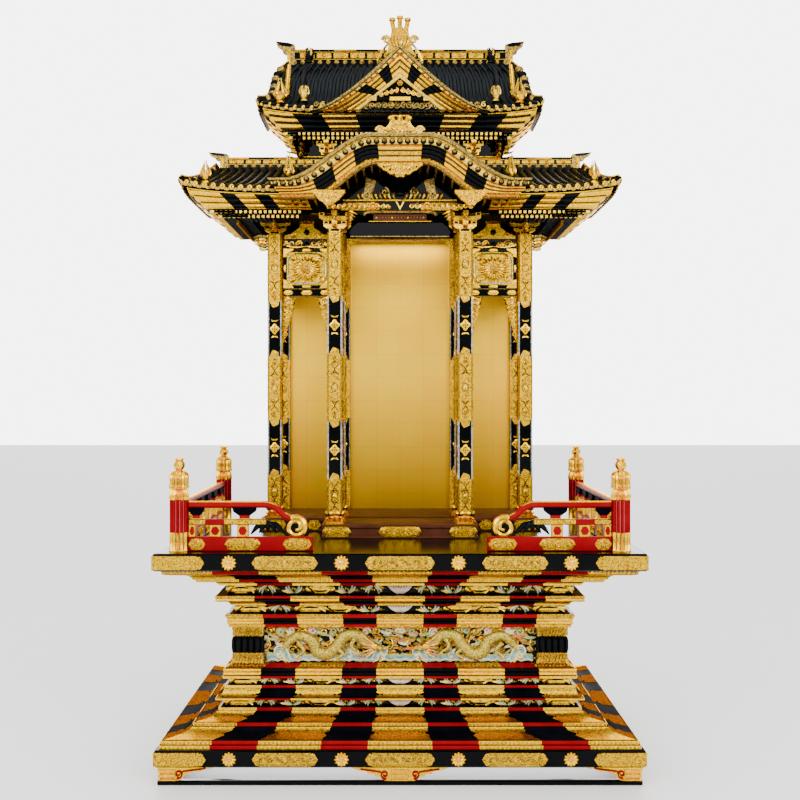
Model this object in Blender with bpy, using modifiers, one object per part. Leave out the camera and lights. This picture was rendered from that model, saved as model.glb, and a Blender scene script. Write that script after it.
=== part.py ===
"""Lacquered Buddhist altar dais that carries a palace shrine with two tiled roofs.

Metres, +Z up, front towards -Y. The origin is under the middle of the dais, on the floor.
"""
import math

import bmesh
import bpy
from mathutils import Matrix, Vector

GAP = 0.0003
BITE = 0.002

# Dais, from the floor up
BOARD_WIDTH = 1.82
BOARD_DEPTH = 1.21
BOTTOM_BOARD_INSET = 0.005
RAIL_INSET = 0.015
RAIL_WIDTH = 0.03
RAIL_HEIGHT = 0.015
FOOT_HEIGHT = 0.053
CORNER_FOOT_WIDTH = 0.213
MIDDLE_FOOT_WIDTH = 0.356
MIDDLE_FOOT_DEPTH = 0.07
BOTTOM_BOARD_HEIGHT = 0.063
LOWER_STEPS_HEIGHT = 0.102
LOWER_STRIP_HEIGHT = 0.031
LOWER_LIP_HEIGHT = 0.050
SHADOW_STRIP_HEIGHT = 0.027
LOWER_MOULDING_HEIGHT = 0.052
WAIST_HEIGHT = 0.143
UPPER_MOULDING_HEIGHT = 0.052
FLOWER_STRIP_HEIGHT = 0.032
UPPER_LIP_HEIGHT = 0.045
UPPER_STRIP_HEIGHT = 0.039
UPPER_STEPS_HEIGHT = 0.086
TOP_BOARD_HEIGHT = 0.065
WAIST_INSET = 0.25
LOWER_STRIP_INSET = 0.235
SHADOW_STRIP_INSET = 0.25
FLOWER_STRIP_INSET = 0.268
UPPER_STRIP_INSET = 0.24
STRIP_RELIEF = 0.012
SCROLL_PITCH = 0.12
CORNER_POST_WIDTH = 0.125
CORNER_POST_INSET = 0.253
PANEL_INSET = 0.28
PANEL_THICKNESS = 0.03
PANEL_RELIEF = 0.028

# Railing on the dais
POST_RADIUS = 0.0385
POST_INSET = 0.083
POST_HEIGHT = 0.349
RAILING_THICKNESS = 0.028
BOTTOM_RAIL_TOP = 0.054
MIDDLE_RAIL_BOTTOM = 0.099
MIDDLE_RAIL_TOP = 0.120
TOP_RAIL_BOTTOM = 0.163
TOP_RAIL_TOP = 0.183
FRONT_RAIL_LENGTH = 0.462
RAIL_WEB = 0.012
SIDE_STRUT_WIDTH = 0.04
SCROLL_RADIUS = 0.039

# Palace
PLINTH_HEIGHT = 0.057
PLINTH_HALF_WIDTH = 0.60
PORCH_HALF_WIDTH = 0.32
PLINTH_FRONT = 0.448
PLINTH_SIDE_FRONT = 0.70
PLINTH_BACK = 1.18
COLUMN_WIDTH = 0.06
COLUMN_CHAMFER = 0.012
COLUMN_FOOT_HEIGHT = 0.052
COLUMN_CAP_HEIGHT = 0.02
NOSE_REACH = 0.105
NOSE_HEIGHT = 0.075
NOSE_THICKNESS = 0.036
INNER_COLUMN_X = 0.268
OUTER_COLUMN_X = 0.543
PORCH_ROW = 0.504
MAIN_ROW = 0.756
REAR_WALL_FRONT = 1.12
REAR_WALL_THICKNESS = 0.025
PILASTER_RELIEF = 0.022
MAIN_COLUMN_HEIGHT = 1.228
PORCH_COLUMN_DROP = 0.03
TRANSOM_DROP = 0.466
TRANSOM_ARCH = 0.165
TRANSOM_THICKNESS = 0.03
BEAM_RELIEF = 0.009
BRACKET_HEIGHT = 0.045
BRACKET_HALF_WIDTH = 0.064
PORCH_BOARD_THICKNESS = 0.044
PORCH_BEAM_THICKNESS = 0.064
PORCH_BEAM_HEIGHT = 0.01
PORCH_BEAM_LIFT = 0.003
LINTEL_THICKNESS = 0.03
LINTEL_DROP = 0.02
EAVES_THICKNESS = 0.015
EAVES_INSET = 0.012

# Lower roof and its curved porch gable
ROOF_RIB_PITCH = 0.115
SIDE_RIB_PITCH = 0.18
RIB_HEIGHT = 0.012
CORNER_SWEEP = 0.028
LOWER_EAVE_HALF = 0.861
LOWER_EAVE_FRONT = 0.4255
LOWER_EAVE_BACK = 1.18
LOWER_FASCIA_HEIGHT = 0.0555
FASCIA_SLANT = 0.074
TILE_LIP = 0.024
LOWER_TOP_HALF = 0.80
LOWER_TOP_FRONT = 0.75
LOWER_TOP_BACK = 1.005
LOWER_SLOPE_RISE = 0.1755
SLOPE_BREAK = 0.45
SLOPE_SAG = 0.34
TILE_EDGE = 0.018
RIDGE_THICKNESS = 0.04
LOWER_RIDGE_HEIGHT = 0.046
GABLE_HALF_WIDTH = 0.524
GABLE_FRONT = 0.30
GABLE_SPRING = 0.018
GABLE_END_HEIGHT = 0.078
GABLE_RISE = 0.178
GABLE_ARCH_HALF = 0.461
GABLE_ARCH_RISE = 0.137
GABLE_FACETS = 14
BARGE_STEP = 0.015
NOTCH_HALF = 0.40
NOTCH_BACK = 0.05
CREST_HEIGHT = 0.079
CREST_WIDTH = 0.19
CREST_SETBACK = 0.01
CREST_THICKNESS = 0.035

# Upper storey
BODY_HALF_WIDTH = 0.43
BODY_FRONT = 0.805
BODY_BACK = 1.005
BODY_HEIGHT = 0.157
UPPER_EAVE_HALF = 0.587
UPPER_EAVE_FRONT = 0.70
UPPER_EAVE_BACK = 1.09
UPPER_FASCIA_HEIGHT = 0.063
UPPER_SLOPE_RISE = 0.265
UPPER_RIDGE_HALF = 0.50
UPPER_RIDGE_Y = 0.888
UPPER_RIDGE_HEIGHT = 0.07
DORMER_FRONT = 0.656
DORMER_HALF_WIDTH = 0.3755
DORMER_BASE = 0.069
DORMER_HEIGHT = 0.285
DORMER_BAND = 0.075
DORMER_FOOT = 0.62
DORMER_THICKNESS = 0.05
CROWN_HEIGHT = 0.137
CROWN_WIDTH = 0.11
CROWN_SETBACK = 0.005
CROWN_SINK = 0.012

HALF_X = BOARD_WIDTH / 2
HALF_Y = BOARD_DEPTH / 2
PORCH_COLUMN_HEIGHT = MAIN_COLUMN_HEIGHT - PORCH_COLUMN_DROP


def depth(distance):
    """World Y of a point that lies this far behind the front edge of the top board."""
    return distance - HALF_Y


for old in list(bpy.data.objects):
    bpy.data.objects.remove(old, do_unlink=True)

model = bpy.data.collections.new("altar_dais")
cutters = bpy.data.collections.new("cutters")
bpy.context.scene.collection.children.link(model)
bpy.context.scene.collection.children.link(cutters)


def finish_material(name, colour, roughness, metallic):
    material = bpy.data.materials.new(name)
    material.use_nodes = True
    shader = material.node_tree.nodes["Principled BSDF"]
    shader.inputs["Base Color"].default_value = (*colour, 1.0)
    shader.inputs["Roughness"].default_value = roughness
    shader.inputs["Metallic"].default_value = metallic
    return material


BLACK = finish_material("black_lacquer", (0.008, 0.009, 0.012), 0.12, 0.0)
RED = finish_material("red_lacquer", (0.43, 0.02, 0.025), 0.2, 0.0)
GOLD = finish_material("gold_leaf", (0.85, 0.55, 0.11), 0.3, 1.0)
CARVED = finish_material("painted_carving", (0.55, 0.52, 0.3), 0.45, 0.1)
BROWN = finish_material("brown_lacquer", (0.12, 0.04, 0.018), 0.15, 0.0)
TILE = finish_material("dark_tile", (0.012, 0.025, 0.03), 0.3, 0.2)


def add(name, mesh, material):
    """Link a mesh as a named object that has its own copy of the material."""
    obj = bpy.data.objects.new(name, mesh)
    own = material.copy()
    own.name = material.name + "_" + name
    mesh.materials.clear()
    mesh.materials.append(own)
    model.objects.link(obj)
    return obj


def to_mesh(bm, name):
    bmesh.ops.recalc_face_normals(bm, faces=bm.faces)
    mesh = bpy.data.meshes.new(name)
    bm.to_mesh(mesh)
    bm.free()
    return mesh


def loft(name, rings):
    """Closed body through rings that all have the same number of points."""
    bm = bmesh.new()
    rows = [[bm.verts.new(point) for point in ring] for ring in rings]
    for low, high in zip(rows, rows[1:]):
        for i in range(len(low)):
            j = (i + 1) % len(low)
            bm.faces.new((low[i], low[j], high[j], high[i]))
    bm.faces.new(list(reversed(rows[0])))
    bm.faces.new(rows[-1])
    return to_mesh(bm, name)


def block(name, low, high):
    """Box between two corners."""
    bm = bmesh.new()
    bmesh.ops.create_cube(bm, size=1.0)
    size = Vector(high) - Vector(low)
    bmesh.ops.scale(bm, vec=size, verts=bm.verts)
    bmesh.ops.translate(bm, vec=Vector(low) + size / 2, verts=bm.verts)
    return to_mesh(bm, name)


def outline(name, loops, low, high, upright=True):
    """Flat board from closed loops, later loops being holes; low to high is its thickness.

    Upright loops lie in XZ and the board runs from y=low to y=high, others lie in XY and run in z.
    """
    curve = bpy.data.curves.new(name, "CURVE")
    curve.dimensions = "2D"
    curve.fill_mode = "BOTH"
    curve.extrude = (high - low) / 2
    for points in loops:
        spline = curve.splines.new("POLY")
        spline.points.add(len(points) - 1)
        for slot, (a, b) in zip(spline.points, points):
            slot.co = (a, b, 0.0, 1.0)
        spline.use_cyclic_u = True
    sketch = bpy.data.objects.new(name, curve)
    model.objects.link(sketch)
    evaluated = sketch.evaluated_get(bpy.context.evaluated_depsgraph_get())
    mesh = bpy.data.meshes.new_from_object(evaluated)
    bpy.data.objects.remove(sketch, do_unlink=True)
    middle = (low + high) / 2
    place = Matrix.Translation((0, 0, middle))
    if upright:
        place = Matrix.Translation((0, middle, 0)) @ Matrix.Rotation(math.pi / 2, 4, "X")
    bm = bmesh.new()
    bm.from_mesh(mesh)
    bmesh.ops.remove_doubles(bm, verts=bm.verts, dist=0.00002)
    bmesh.ops.transform(bm, matrix=place, verts=bm.verts)
    bpy.data.meshes.remove(mesh)
    return to_mesh(bm, name)


def moved(mesh, matrix):
    mesh.transform(matrix)
    if matrix.determinant() < 0:
        mesh.flip_normals()
    return mesh


def combine(name, base, others, operation):
    """Mesh that is left when the other meshes are joined to, or cut from, the base."""
    body = bpy.data.objects.new(name, base)
    model.objects.link(body)
    for i, mesh in enumerate(others):
        tool = bpy.data.objects.new(f"{name}_cutter_{i}", mesh)
        tool.hide_render = True
        tool.display_type = "WIRE"
        cutters.objects.link(tool)
        modifier = body.modifiers.new("shape", "BOOLEAN")
        modifier.operation = operation
        modifier.solver = "EXACT"
        modifier.object = tool
    evaluated = body.evaluated_get(bpy.context.evaluated_depsgraph_get())
    result = bpy.data.meshes.new_from_object(evaluated)
    bpy.data.objects.remove(body, do_unlink=True)
    for tool in list(cutters.objects):
        bpy.data.objects.remove(tool, do_unlink=True)
    bm = bmesh.new()
    bm.from_mesh(result)
    bmesh.ops.remove_doubles(bm, verts=bm.verts, dist=0.00002)
    bmesh.ops.dissolve_degenerate(bm, dist=0.00001, edges=bm.edges)
    bpy.data.meshes.remove(result)
    return to_mesh(bm, name)


def rectangle(half_x, half_y, z):
    return [(-half_x, -half_y, z), (half_x, -half_y, z), (half_x, half_y, z), (-half_x, half_y, z)]


def room(half_x, front, back, z):
    return [(-half_x, front, z), (half_x, front, z), (half_x, back, z), (-half_x, back, z)]


def smooth_step(t):
    t = min(max(t, 0.0), 1.0)
    return t * t * (3 - 2 * t)


def moulding(name, bottom, height, profile):
    """Frame with the dais's plan; the profile gives shares of the waist's inset and of the height."""
    rings = []
    for share, level in profile:
        inset = share * WAIST_INSET
        rings.append(rectangle(HALF_X - inset, HALF_Y - inset, bottom + level * height))
    return loft(name, rings)


def cove(low_inset, high_inset, low, high, steps=3):
    """Quarter-round hollow between two levels of a moulding, upright at its deeper end."""
    for i in range(steps + 1):
        turn = math.pi / 2 * i / steps
        run = math.sin(turn)
        rise = 1 - math.cos(turn)
        if high_inset < low_inset:
            run, rise = rise, run
        yield (low_inset + (high_inset - low_inset) * run, low + (high - low) * rise)


def half_round(inset, low, high, bulge, steps=3):
    """Rounded nose that stands out by bulge between two levels."""
    for i in range(steps + 1):
        turn = math.pi * i / steps
        yield (inset - bulge * math.sin(turn), low + (high - low) * i / steps)


def carved_strip(name, bottom, height, inset):
    """Strip of scroll bosses on the front and the two sides, plain at the back."""
    half_x = HALF_X - inset
    half_y = HALF_Y - inset
    corners = [(-half_x, half_y), (-half_x, -half_y), (half_x, -half_y), (half_x, half_y)]

    def ring(z, relief):
        points = []
        for (ax, ay), (bx, by) in zip(corners, corners[1:]):
            run = math.hypot(bx - ax, by - ay)
            count = 2 * max(1, round(run / SCROLL_PITCH))
            out = Vector((by - ay, ax - bx, 0)).normalized()
            for i in range(count):
                lift = relief if i % 2 else 0.0
                share = i / count
                points.append(Vector((ax + (bx - ax) * share, ay + (by - ay) * share, z)) + out * lift)
        points.append(Vector((half_x, half_y, z)))
        return points

    return loft(name, [ring(bottom, 0.0), ring(bottom + height / 2, STRIP_RELIEF), ring(bottom + height, 0.0)])


def relief_panel(name, half_width, height, relief, columns, rows):
    """Upright board at y=0..PANEL_THICKNESS whose front carries a relief towards -Y, base at z=0."""
    bm = bmesh.new()
    grid = [[None] * (rows + 1) for _ in range(columns + 1)]
    for i in range(columns + 1):
        for j in range(rows + 1):
            x = half_width * (2 * i / columns - 1)
            z = height * j / rows
            edge = i in (0, columns) or j in (0, rows)
            grid[i][j] = bm.verts.new((x, 0.0 if edge else -relief(x / half_width, z / height), z))
    for i in range(columns):
        for j in range(rows):
            bm.faces.new((grid[i][j], grid[i + 1][j], grid[i + 1][j + 1], grid[i][j + 1]))
    rim = [edge for edge in bm.edges if edge.is_boundary]
    made = bmesh.ops.extrude_edge_only(bm, edges=rim)["geom"]
    back = [item for item in made if isinstance(item, bmesh.types.BMVert)]
    bmesh.ops.translate(bm, vec=(0, PANEL_THICKNESS, 0), verts=back)
    bmesh.ops.holes_fill(bm, edges=[edge for edge in bm.edges if edge.is_boundary], sides=0)
    return to_mesh(bm, name)


def dragon_relief(u, v):
    """Two scaled dragons that face each other over curling waves, under clouds."""
    across = abs(u)
    spine = 0.52 + 0.2 * math.sin(across * 13.0 + 0.4)
    thickness = 0.2 * (1.15 - across * 0.6)
    body = math.sqrt(max(0.0, 1 - ((v - spine) / thickness) ** 2)) if 0.12 < across < 0.95 else 0.0
    head = math.exp(-((across - 0.24) / 0.06) ** 2 - ((v - 0.66) / 0.2) ** 2)
    wave = max(0.0, 1 - v / 0.34) * (0.45 + 0.45 * math.sin(u * 34.0))
    cloud = max(0.0, (v - 0.74) / 0.26) * (0.4 + 0.4 * math.cos(u * 27.0))
    return PANEL_RELIEF * max(body * 0.85, head, wave, cloud)


def wave_relief(u, v):
    """Plainer rolling waves and clouds for the sides."""
    wave = max(0.0, 1 - v / 0.55) * (0.5 + 0.45 * math.sin(u * 12.0))
    cloud = max(0.0, (v - 0.5) / 0.5) * (0.45 + 0.4 * math.cos(u * 9.0))
    return PANEL_RELIEF * 0.8 * max(wave, cloud)


def corner_foot_mesh():
    """Cloud foot under one corner, the outer corner at the origin and the foot towards +X and +Y."""
    shares = ((0.30, 0.0), (0.34, 0.12), (0.52, 0.22), (0.50, 0.38), (0.74, 0.52), (0.72, 0.66), (1.0, 0.8),
              (1.0, 1.0))
    rings = []
    for width, level in shares:
        w = width * CORNER_FOOT_WIDTH
        z = level * (FOOT_HEIGHT - 2 * GAP)
        rings.append([(0, 0, z), (w, 0, z), (w, w, z), (0, w, z)])
    return loft("corner_foot", rings)


def middle_foot_mesh():
    """Cloud foot with two scalloped wings, base at z=0."""
    half = MIDDLE_FOOT_WIDTH / 2
    top = FOOT_HEIGHT - 2 * GAP
    right = [(0.24, 0.0), (0.25, 0.12), (0.42, 0.2), (0.40, 0.36), (0.62, 0.5), (0.60, 0.64), (1.0, 0.84),
             (1.0, 1.0)]
    points = [(a * half, b * top) for a, b in right]
    points += [(-x, z) for x, z in reversed(points)]
    return outline("middle_foot", [points], -MIDDLE_FOOT_DEPTH / 2, MIDDLE_FOOT_DEPTH / 2)


def build_base():
    """Low rails, feet and bottom board; returns the height of the board's top."""
    half_x = HALF_X - RAIL_INSET
    half_y = HALF_Y - RAIL_INSET
    for side, name in ((-1, "base_rail_front"), (1, "base_rail_back")):
        y = side * (half_y - RAIL_WIDTH / 2)
        low = (-half_x, y - RAIL_WIDTH / 2, 0)
        add(name, block(name, low, (half_x, y + RAIL_WIDTH / 2, RAIL_HEIGHT)), BLACK)
    inner_y = half_y - RAIL_WIDTH - GAP
    for side, name in ((-1, "base_rail_left"), (1, "base_rail_right")):
        x = side * (half_x - RAIL_WIDTH / 2)
        high = (x + RAIL_WIDTH / 2, inner_y, RAIL_HEIGHT)
        add(name, block(name, (x - RAIL_WIDTH / 2, -inner_y, 0), high), BLACK)
    z = RAIL_HEIGHT + GAP
    for side_x, word_x in ((1, "right"), (-1, "left")):
        for side_y, word_y in ((-1, "front"), (1, "back")):
            flip = Matrix.Diagonal((-side_x, -side_y, 1, 1))
            place = Matrix.Translation((side_x * half_x, side_y * half_y, z)) @ flip
            name = f"corner_foot_{word_y}_{word_x}"
            add(name, moved(corner_foot_mesh(), place), GOLD)
    for side, name in ((-1, "middle_foot_front"), (1, "middle_foot_back")):
        y = side * (half_y - MIDDLE_FOOT_DEPTH / 2)
        add(name, moved(middle_foot_mesh(), Matrix.Translation((0, y, z))), GOLD)
    bottom = RAIL_HEIGHT + FOOT_HEIGHT
    board_x = HALF_X - BOTTOM_BOARD_INSET
    board_y = HALF_Y - BOTTOM_BOARD_INSET
    top = bottom + BOTTOM_BOARD_HEIGHT
    add("bottom_board", block("bottom_board", (-board_x, -board_y, bottom), (board_x, board_y, top - GAP)), BLACK)
    return top


def build_lower_steps(z):
    """Three stepped mouldings and two carved strips that narrow towards the waist."""
    steps = [(0.08, 0.0), (0.08, 0.08), (0.112, 0.16), (0.112, 0.30), *cove(0.14, 0.48, 0.30, 0.52),
             (0.512, 0.53), (0.512, 0.66), *cove(0.54, 0.82, 0.66, 0.87), (0.84, 0.89), (0.84, 1.0)]
    add("lower_steps", moulding("lower_steps", z, LOWER_STEPS_HEIGHT - GAP, steps), BLACK)
    z += LOWER_STEPS_HEIGHT
    strip = carved_strip("lower_carved_strip", z, LOWER_STRIP_HEIGHT - GAP, LOWER_STRIP_INSET)
    add("lower_carved_strip", strip, CARVED)
    z += LOWER_STRIP_HEIGHT
    lip = [(0.8, 0.0), (0.8, 0.12), *cove(0.812, 0.912, 0.12, 0.78), (0.92, 0.78), (0.92, 1.0)]
    add("lower_lip", moulding("lower_lip", z, LOWER_LIP_HEIGHT - GAP, lip), RED)
    z += LOWER_LIP_HEIGHT
    strip = carved_strip("lower_shadow_strip", z, SHADOW_STRIP_HEIGHT - GAP, SHADOW_STRIP_INSET)
    add("lower_shadow_strip", strip, CARVED)
    z += SHADOW_STRIP_HEIGHT
    rolls = [(0.9, 0.0), (0.9, 0.2), *half_round(0.94, 0.21, 0.47, 0.04), *half_round(0.94, 0.48, 0.74, 0.04),
             (0.94, 0.76), (1.048, 1.0)]
    add("lower_rolls", moulding("lower_rolls", z, LOWER_MOULDING_HEIGHT - GAP, rolls), BLACK)
    return z + LOWER_MOULDING_HEIGHT


def build_waist(z):
    """Four relief panels between four swelling corner posts."""
    height = WAIST_HEIGHT - GAP
    half = CORNER_POST_WIDTH / 2
    swell = ((1.0, 0.0), (0.96, 0.08), (0.78, 0.26), (0.80, 0.31), (0.96, 0.38), (1.0, 0.5), (0.96, 0.62),
             (0.80, 0.69), (0.78, 0.74), (0.96, 0.92), (1.0, 1.0))
    x = HALF_X - CORNER_POST_INSET - half
    y = HALF_Y - CORNER_POST_INSET - half
    for side_x, word_x in ((-1, "left"), (1, "right")):
        for side_y, word_y in ((-1, "front"), (1, "back")):
            rings = [rectangle(half * wide, half * wide, z + level * height) for wide, level in swell]
            name = f"corner_post_{word_y}_{word_x}"
            add(name, moved(loft(name, rings), Matrix.Translation((side_x * x, side_y * y, 0))), GOLD)
    width_x = x - half - GAP
    width_y = y - half - GAP
    face_x = HALF_X - PANEL_INSET
    face_y = HALF_Y - PANEL_INSET
    front = relief_panel("dragon_panel_front", width_x, height, dragon_relief, 42, 6)
    add("dragon_panel_front", moved(front, Matrix.Translation((0, -face_y, z))), CARVED)
    back = block("waist_panel_back", (-width_x, face_y - PANEL_THICKNESS, z), (width_x, face_y, z + height))
    add("waist_panel_back", back, BLACK)
    for side, name in ((-1, "wave_panel_left"), (1, "wave_panel_right")):
        panel = relief_panel(name, width_y, height, wave_relief, 14, 4)
        turn = Matrix.Translation((side * face_x, 0, z)) @ Matrix.Rotation(side * math.pi / 2, 4, "Z")
        add(name, moved(panel, turn), CARVED)
    return z + WAIST_HEIGHT


def build_upper_steps(z):
    """Mouldings and carved strips that flare from the waist to the top board."""
    rolls = [(0.98, 0.0), (0.98, 0.22), *half_round(0.98, 0.24, 0.46, 0.04), *half_round(0.98, 0.48, 0.70, 0.04),
             (0.94, 0.72), (0.94, 1.0)]
    add("upper_rolls", moulding("upper_rolls", z, UPPER_MOULDING_HEIGHT - GAP, rolls), BLACK)
    z += UPPER_MOULDING_HEIGHT
    strip = carved_strip("flower_strip", z, FLOWER_STRIP_HEIGHT - GAP, FLOWER_STRIP_INSET)
    add("flower_strip", strip, CARVED)
    z += FLOWER_STRIP_HEIGHT
    lip = [(1.0, 0.0), *cove(1.0, 0.82, 0.02, 0.55), (0.8, 0.56), (0.8, 1.0)]
    add("upper_lip", moulding("upper_lip", z, UPPER_LIP_HEIGHT - GAP, lip), RED)
    z += UPPER_LIP_HEIGHT
    strip = carved_strip("upper_carved_strip", z, UPPER_STRIP_HEIGHT - GAP, UPPER_STRIP_INSET)
    add("upper_carved_strip", strip, CARVED)
    z += UPPER_STRIP_HEIGHT
    steps = [(0.84, 0.0), (0.84, 0.09), *cove(0.82, 0.552, 0.10, 0.30), (0.544, 0.31), (0.544, 0.42),
             *cove(0.5, 0.208, 0.43, 0.76), (0.2, 0.77), (0.12, 0.83), (0.12, 1.0)]
    add("upper_steps", moulding("upper_steps", z, UPPER_STEPS_HEIGHT - GAP, steps), BLACK)
    z += UPPER_STEPS_HEIGHT
    top = z + TOP_BOARD_HEIGHT
    add("top_board", block("top_board", (-HALF_X, -HALF_Y, z), (HALF_X, HALF_Y, top - GAP)), BLACK)
    return top


def railing_post(name, x, y, z):
    """Turned post: fluted shaft, petal crown, ribbed cap and onion finial."""
    profile = ((0.0, 1.0), (0.12, 0.96), (0.42, 0.90), (0.30, 0.84), (0.9, 0.80), (0.95, 0.66), (0.75, 0.65),
               (1.0, 0.56), (0.86, 0.54), (0.86, 0.21), (1.0, 0.19), (1.0, 0.0), (0.0, 0.0))
    mesh = bpy.data.meshes.new(name)
    points = [(radius * POST_RADIUS, 0.0, level * POST_HEIGHT) for radius, level in profile]
    mesh.from_pydata(points, [(i, i + 1) for i in range(len(points) - 1)], [])
    post = add(name, mesh, RED)
    post.location = (x, y, z)
    turn = post.modifiers.new("turned", "SCREW")
    turn.steps = 8
    turn.render_steps = 8
    turn.use_merge_vertices = True
    turn.merge_threshold = 0.0001


def front_railing_mesh():
    """Railing that ends in a scroll, from the post at x=0 towards +X, base at z=0."""
    disc_x = FRONT_RAIL_LENGTH - 1.45 * SCROLL_RADIUS
    disc_z = BOTTOM_RAIL_TOP + SCROLL_RADIUS - BITE
    bend = disc_x - 2.4 * SCROLL_RADIUS
    outer = [(0, 0), (FRONT_RAIL_LENGTH, 0), (FRONT_RAIL_LENGTH, BOTTOM_RAIL_TOP)]
    for i in range(9):
        turn = math.radians(-62 + 20 * i)
        outer.append((disc_x + SCROLL_RADIUS * math.cos(turn), disc_z + SCROLL_RADIUS * math.sin(turn)))
    last_x, last_z = outer[-1]
    for i in range(1, 5):
        share = i / 4
        outer.append((last_x + (bend - last_x) * share, last_z + (TOP_RAIL_TOP - last_z) * smooth_step(share)))
    outer.append((0, TOP_RAIL_TOP))
    left = disc_x - SCROLL_RADIUS * 0.98
    drop = disc_z + SCROLL_RADIUS * 0.5
    bay = 0.584 * FRONT_RAIL_LENGTH
    holes = [[(bend, TOP_RAIL_BOTTOM), (left - RAIL_WEB, drop), (left, MIDDLE_RAIL_TOP), (bay, MIDDLE_RAIL_TOP),
              (bay, TOP_RAIL_BOTTOM)]]
    for start, end, low, high in ((0.108, 0.433, MIDDLE_RAIL_TOP, TOP_RAIL_BOTTOM),
                                  (0.076, 0.184, BOTTOM_RAIL_TOP, MIDDLE_RAIL_BOTTOM),
                                  (0.281, 0.40, BOTTOM_RAIL_TOP, MIDDLE_RAIL_BOTTOM),
                                  (0.498, 0.75, BOTTOM_RAIL_TOP, MIDDLE_RAIL_BOTTOM)):
        a = start * FRONT_RAIL_LENGTH
        b = min(end * FRONT_RAIL_LENGTH, left - RAIL_WEB)
        holes.append([(a, low), (b, low), (b, high), (a, high)])
    return outline("front_railing", [outer, *holes], -RAILING_THICKNESS / 2, RAILING_THICKNESS / 2)


def side_railing_mesh(length):
    """Straight railing with struts, from x=0 to x=length, base at z=0."""
    outer = [(0, 0), (length, 0), (length, TOP_RAIL_TOP), (0, TOP_RAIL_TOP)]
    holes = []
    for bays, low, high in ((6, BOTTOM_RAIL_TOP, MIDDLE_RAIL_BOTTOM), (4, MIDDLE_RAIL_TOP, TOP_RAIL_BOTTOM)):
        bay = length / bays
        for i in range(bays):
            start = i * bay + SIDE_STRUT_WIDTH / 2
            end = (i + 1) * bay - SIDE_STRUT_WIDTH / 2
            holes.append([(start, low), (end, low), (end, high), (start, high)])
    return outline("side_railing", [outer, *holes], -RAILING_THICKNESS / 2, RAILING_THICKNESS / 2)


def build_railings(z):
    x = HALF_X - POST_INSET
    y = HALF_Y - POST_INSET
    for side_x, word_x in ((-1, "left"), (1, "right")):
        for side_y, word_y in ((-1, "front"), (1, "back")):
            railing_post(f"railing_post_{word_y}_{word_x}", side_x * x, side_y * y, z)
        flip = Matrix.Diagonal((-side_x, 1, 1, 1))
        place = Matrix.Translation((side_x * (x - POST_RADIUS - GAP), -y, z)) @ flip
        add(f"front_railing_{word_x}", moved(front_railing_mesh(), place), RED)
        length = 2 * (y - POST_RADIUS - GAP)
        place = Matrix.Translation((side_x * x, -length / 2, z)) @ Matrix.Rotation(math.pi / 2, 4, "Z")
        add(f"side_railing_{word_x}", moved(side_railing_mesh(length), place), RED)


def build_plinth(z):
    """Moulded platform of the palace, with its porch towards the front."""
    def ring(inset, level):
        half = PLINTH_HALF_WIDTH - inset
        porch = PORCH_HALF_WIDTH - inset
        front = depth(PLINTH_FRONT) + inset
        side = depth(PLINTH_SIDE_FRONT) + inset
        back = depth(PLINTH_BACK) - inset
        plan = [(-porch, front), (porch, front), (porch, side), (half, side), (half, back), (-half, back),
                (-half, side), (-porch, side)]
        return [(x, y, z + level * (PLINTH_HEIGHT - GAP)) for x, y in plan]

    rings = [ring(0, 0), ring(0, 0.2), ring(0.01, 0.3), ring(0.01, 0.7), ring(0, 0.8), ring(0, 1.0)]
    add("plinth", loft("plinth", rings), BROWN)
    return z + PLINTH_HEIGHT


def column_mesh(name, height):
    """Chamfered square column on a lotus foot, with a small cap."""
    half = COLUMN_WIDTH / 2
    foot = COLUMN_FOOT_HEIGHT
    cap = COLUMN_CAP_HEIGHT
    levels = ((1.45, 0.0), (1.45, 0.27 * foot), (1.15, 0.42 * foot), (1.35, 0.7 * foot), (1.0, foot),
              (1.0, height - cap), (1.2, height - 0.4 * cap), (1.2, height))
    rings = []
    for wide, z in levels:
        a = half * wide
        b = a - COLUMN_CHAMFER
        rings.append([(-b, -a, z), (b, -a, z), (a, -b, z), (a, b, z), (b, a, z), (-b, a, z), (-a, b, z), (-a, -b, z)])
    return loft(name, rings)


def build_columns(z):
    """Two porch columns, four main columns, and noses on the outer ones."""
    for side, word in ((-1, "left"), (1, "right")):
        name = f"porch_column_{word}"
        place = Matrix.Translation((side * INNER_COLUMN_X, depth(PORCH_ROW), z))
        add(name, moved(column_mesh(name, PORCH_COLUMN_HEIGHT - GAP), place), GOLD)
        name = f"inner_column_{word}"
        place = Matrix.Translation((side * INNER_COLUMN_X, depth(MAIN_ROW), z))
        add(name, moved(column_mesh(name, MAIN_COLUMN_HEIGHT - GAP), place), GOLD)
        name = f"outer_column_{word}"
        nose = [(0.19, 1.0), (0.52, 0.93), (0.71, 0.67), (1.0, 0.77), (0.95, 0.37), (0.76, 0.16), (0.43, 0.24),
                (0.19, 0.27)]
        points = [(x * NOSE_REACH, MAIN_COLUMN_HEIGHT - drop * NOSE_HEIGHT) for x, drop in nose]
        nose_mesh = outline("nose", [points], -NOSE_THICKNESS / 2, NOSE_THICKNESS / 2)
        shape = combine(name, column_mesh(name, MAIN_COLUMN_HEIGHT - GAP), [nose_mesh], "UNION")
        place = Matrix.Translation((side * OUTER_COLUMN_X, depth(MAIN_ROW), z)) @ Matrix.Diagonal((side, 1, 1, 1))
        add(name, moved(shape, place), GOLD)


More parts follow.
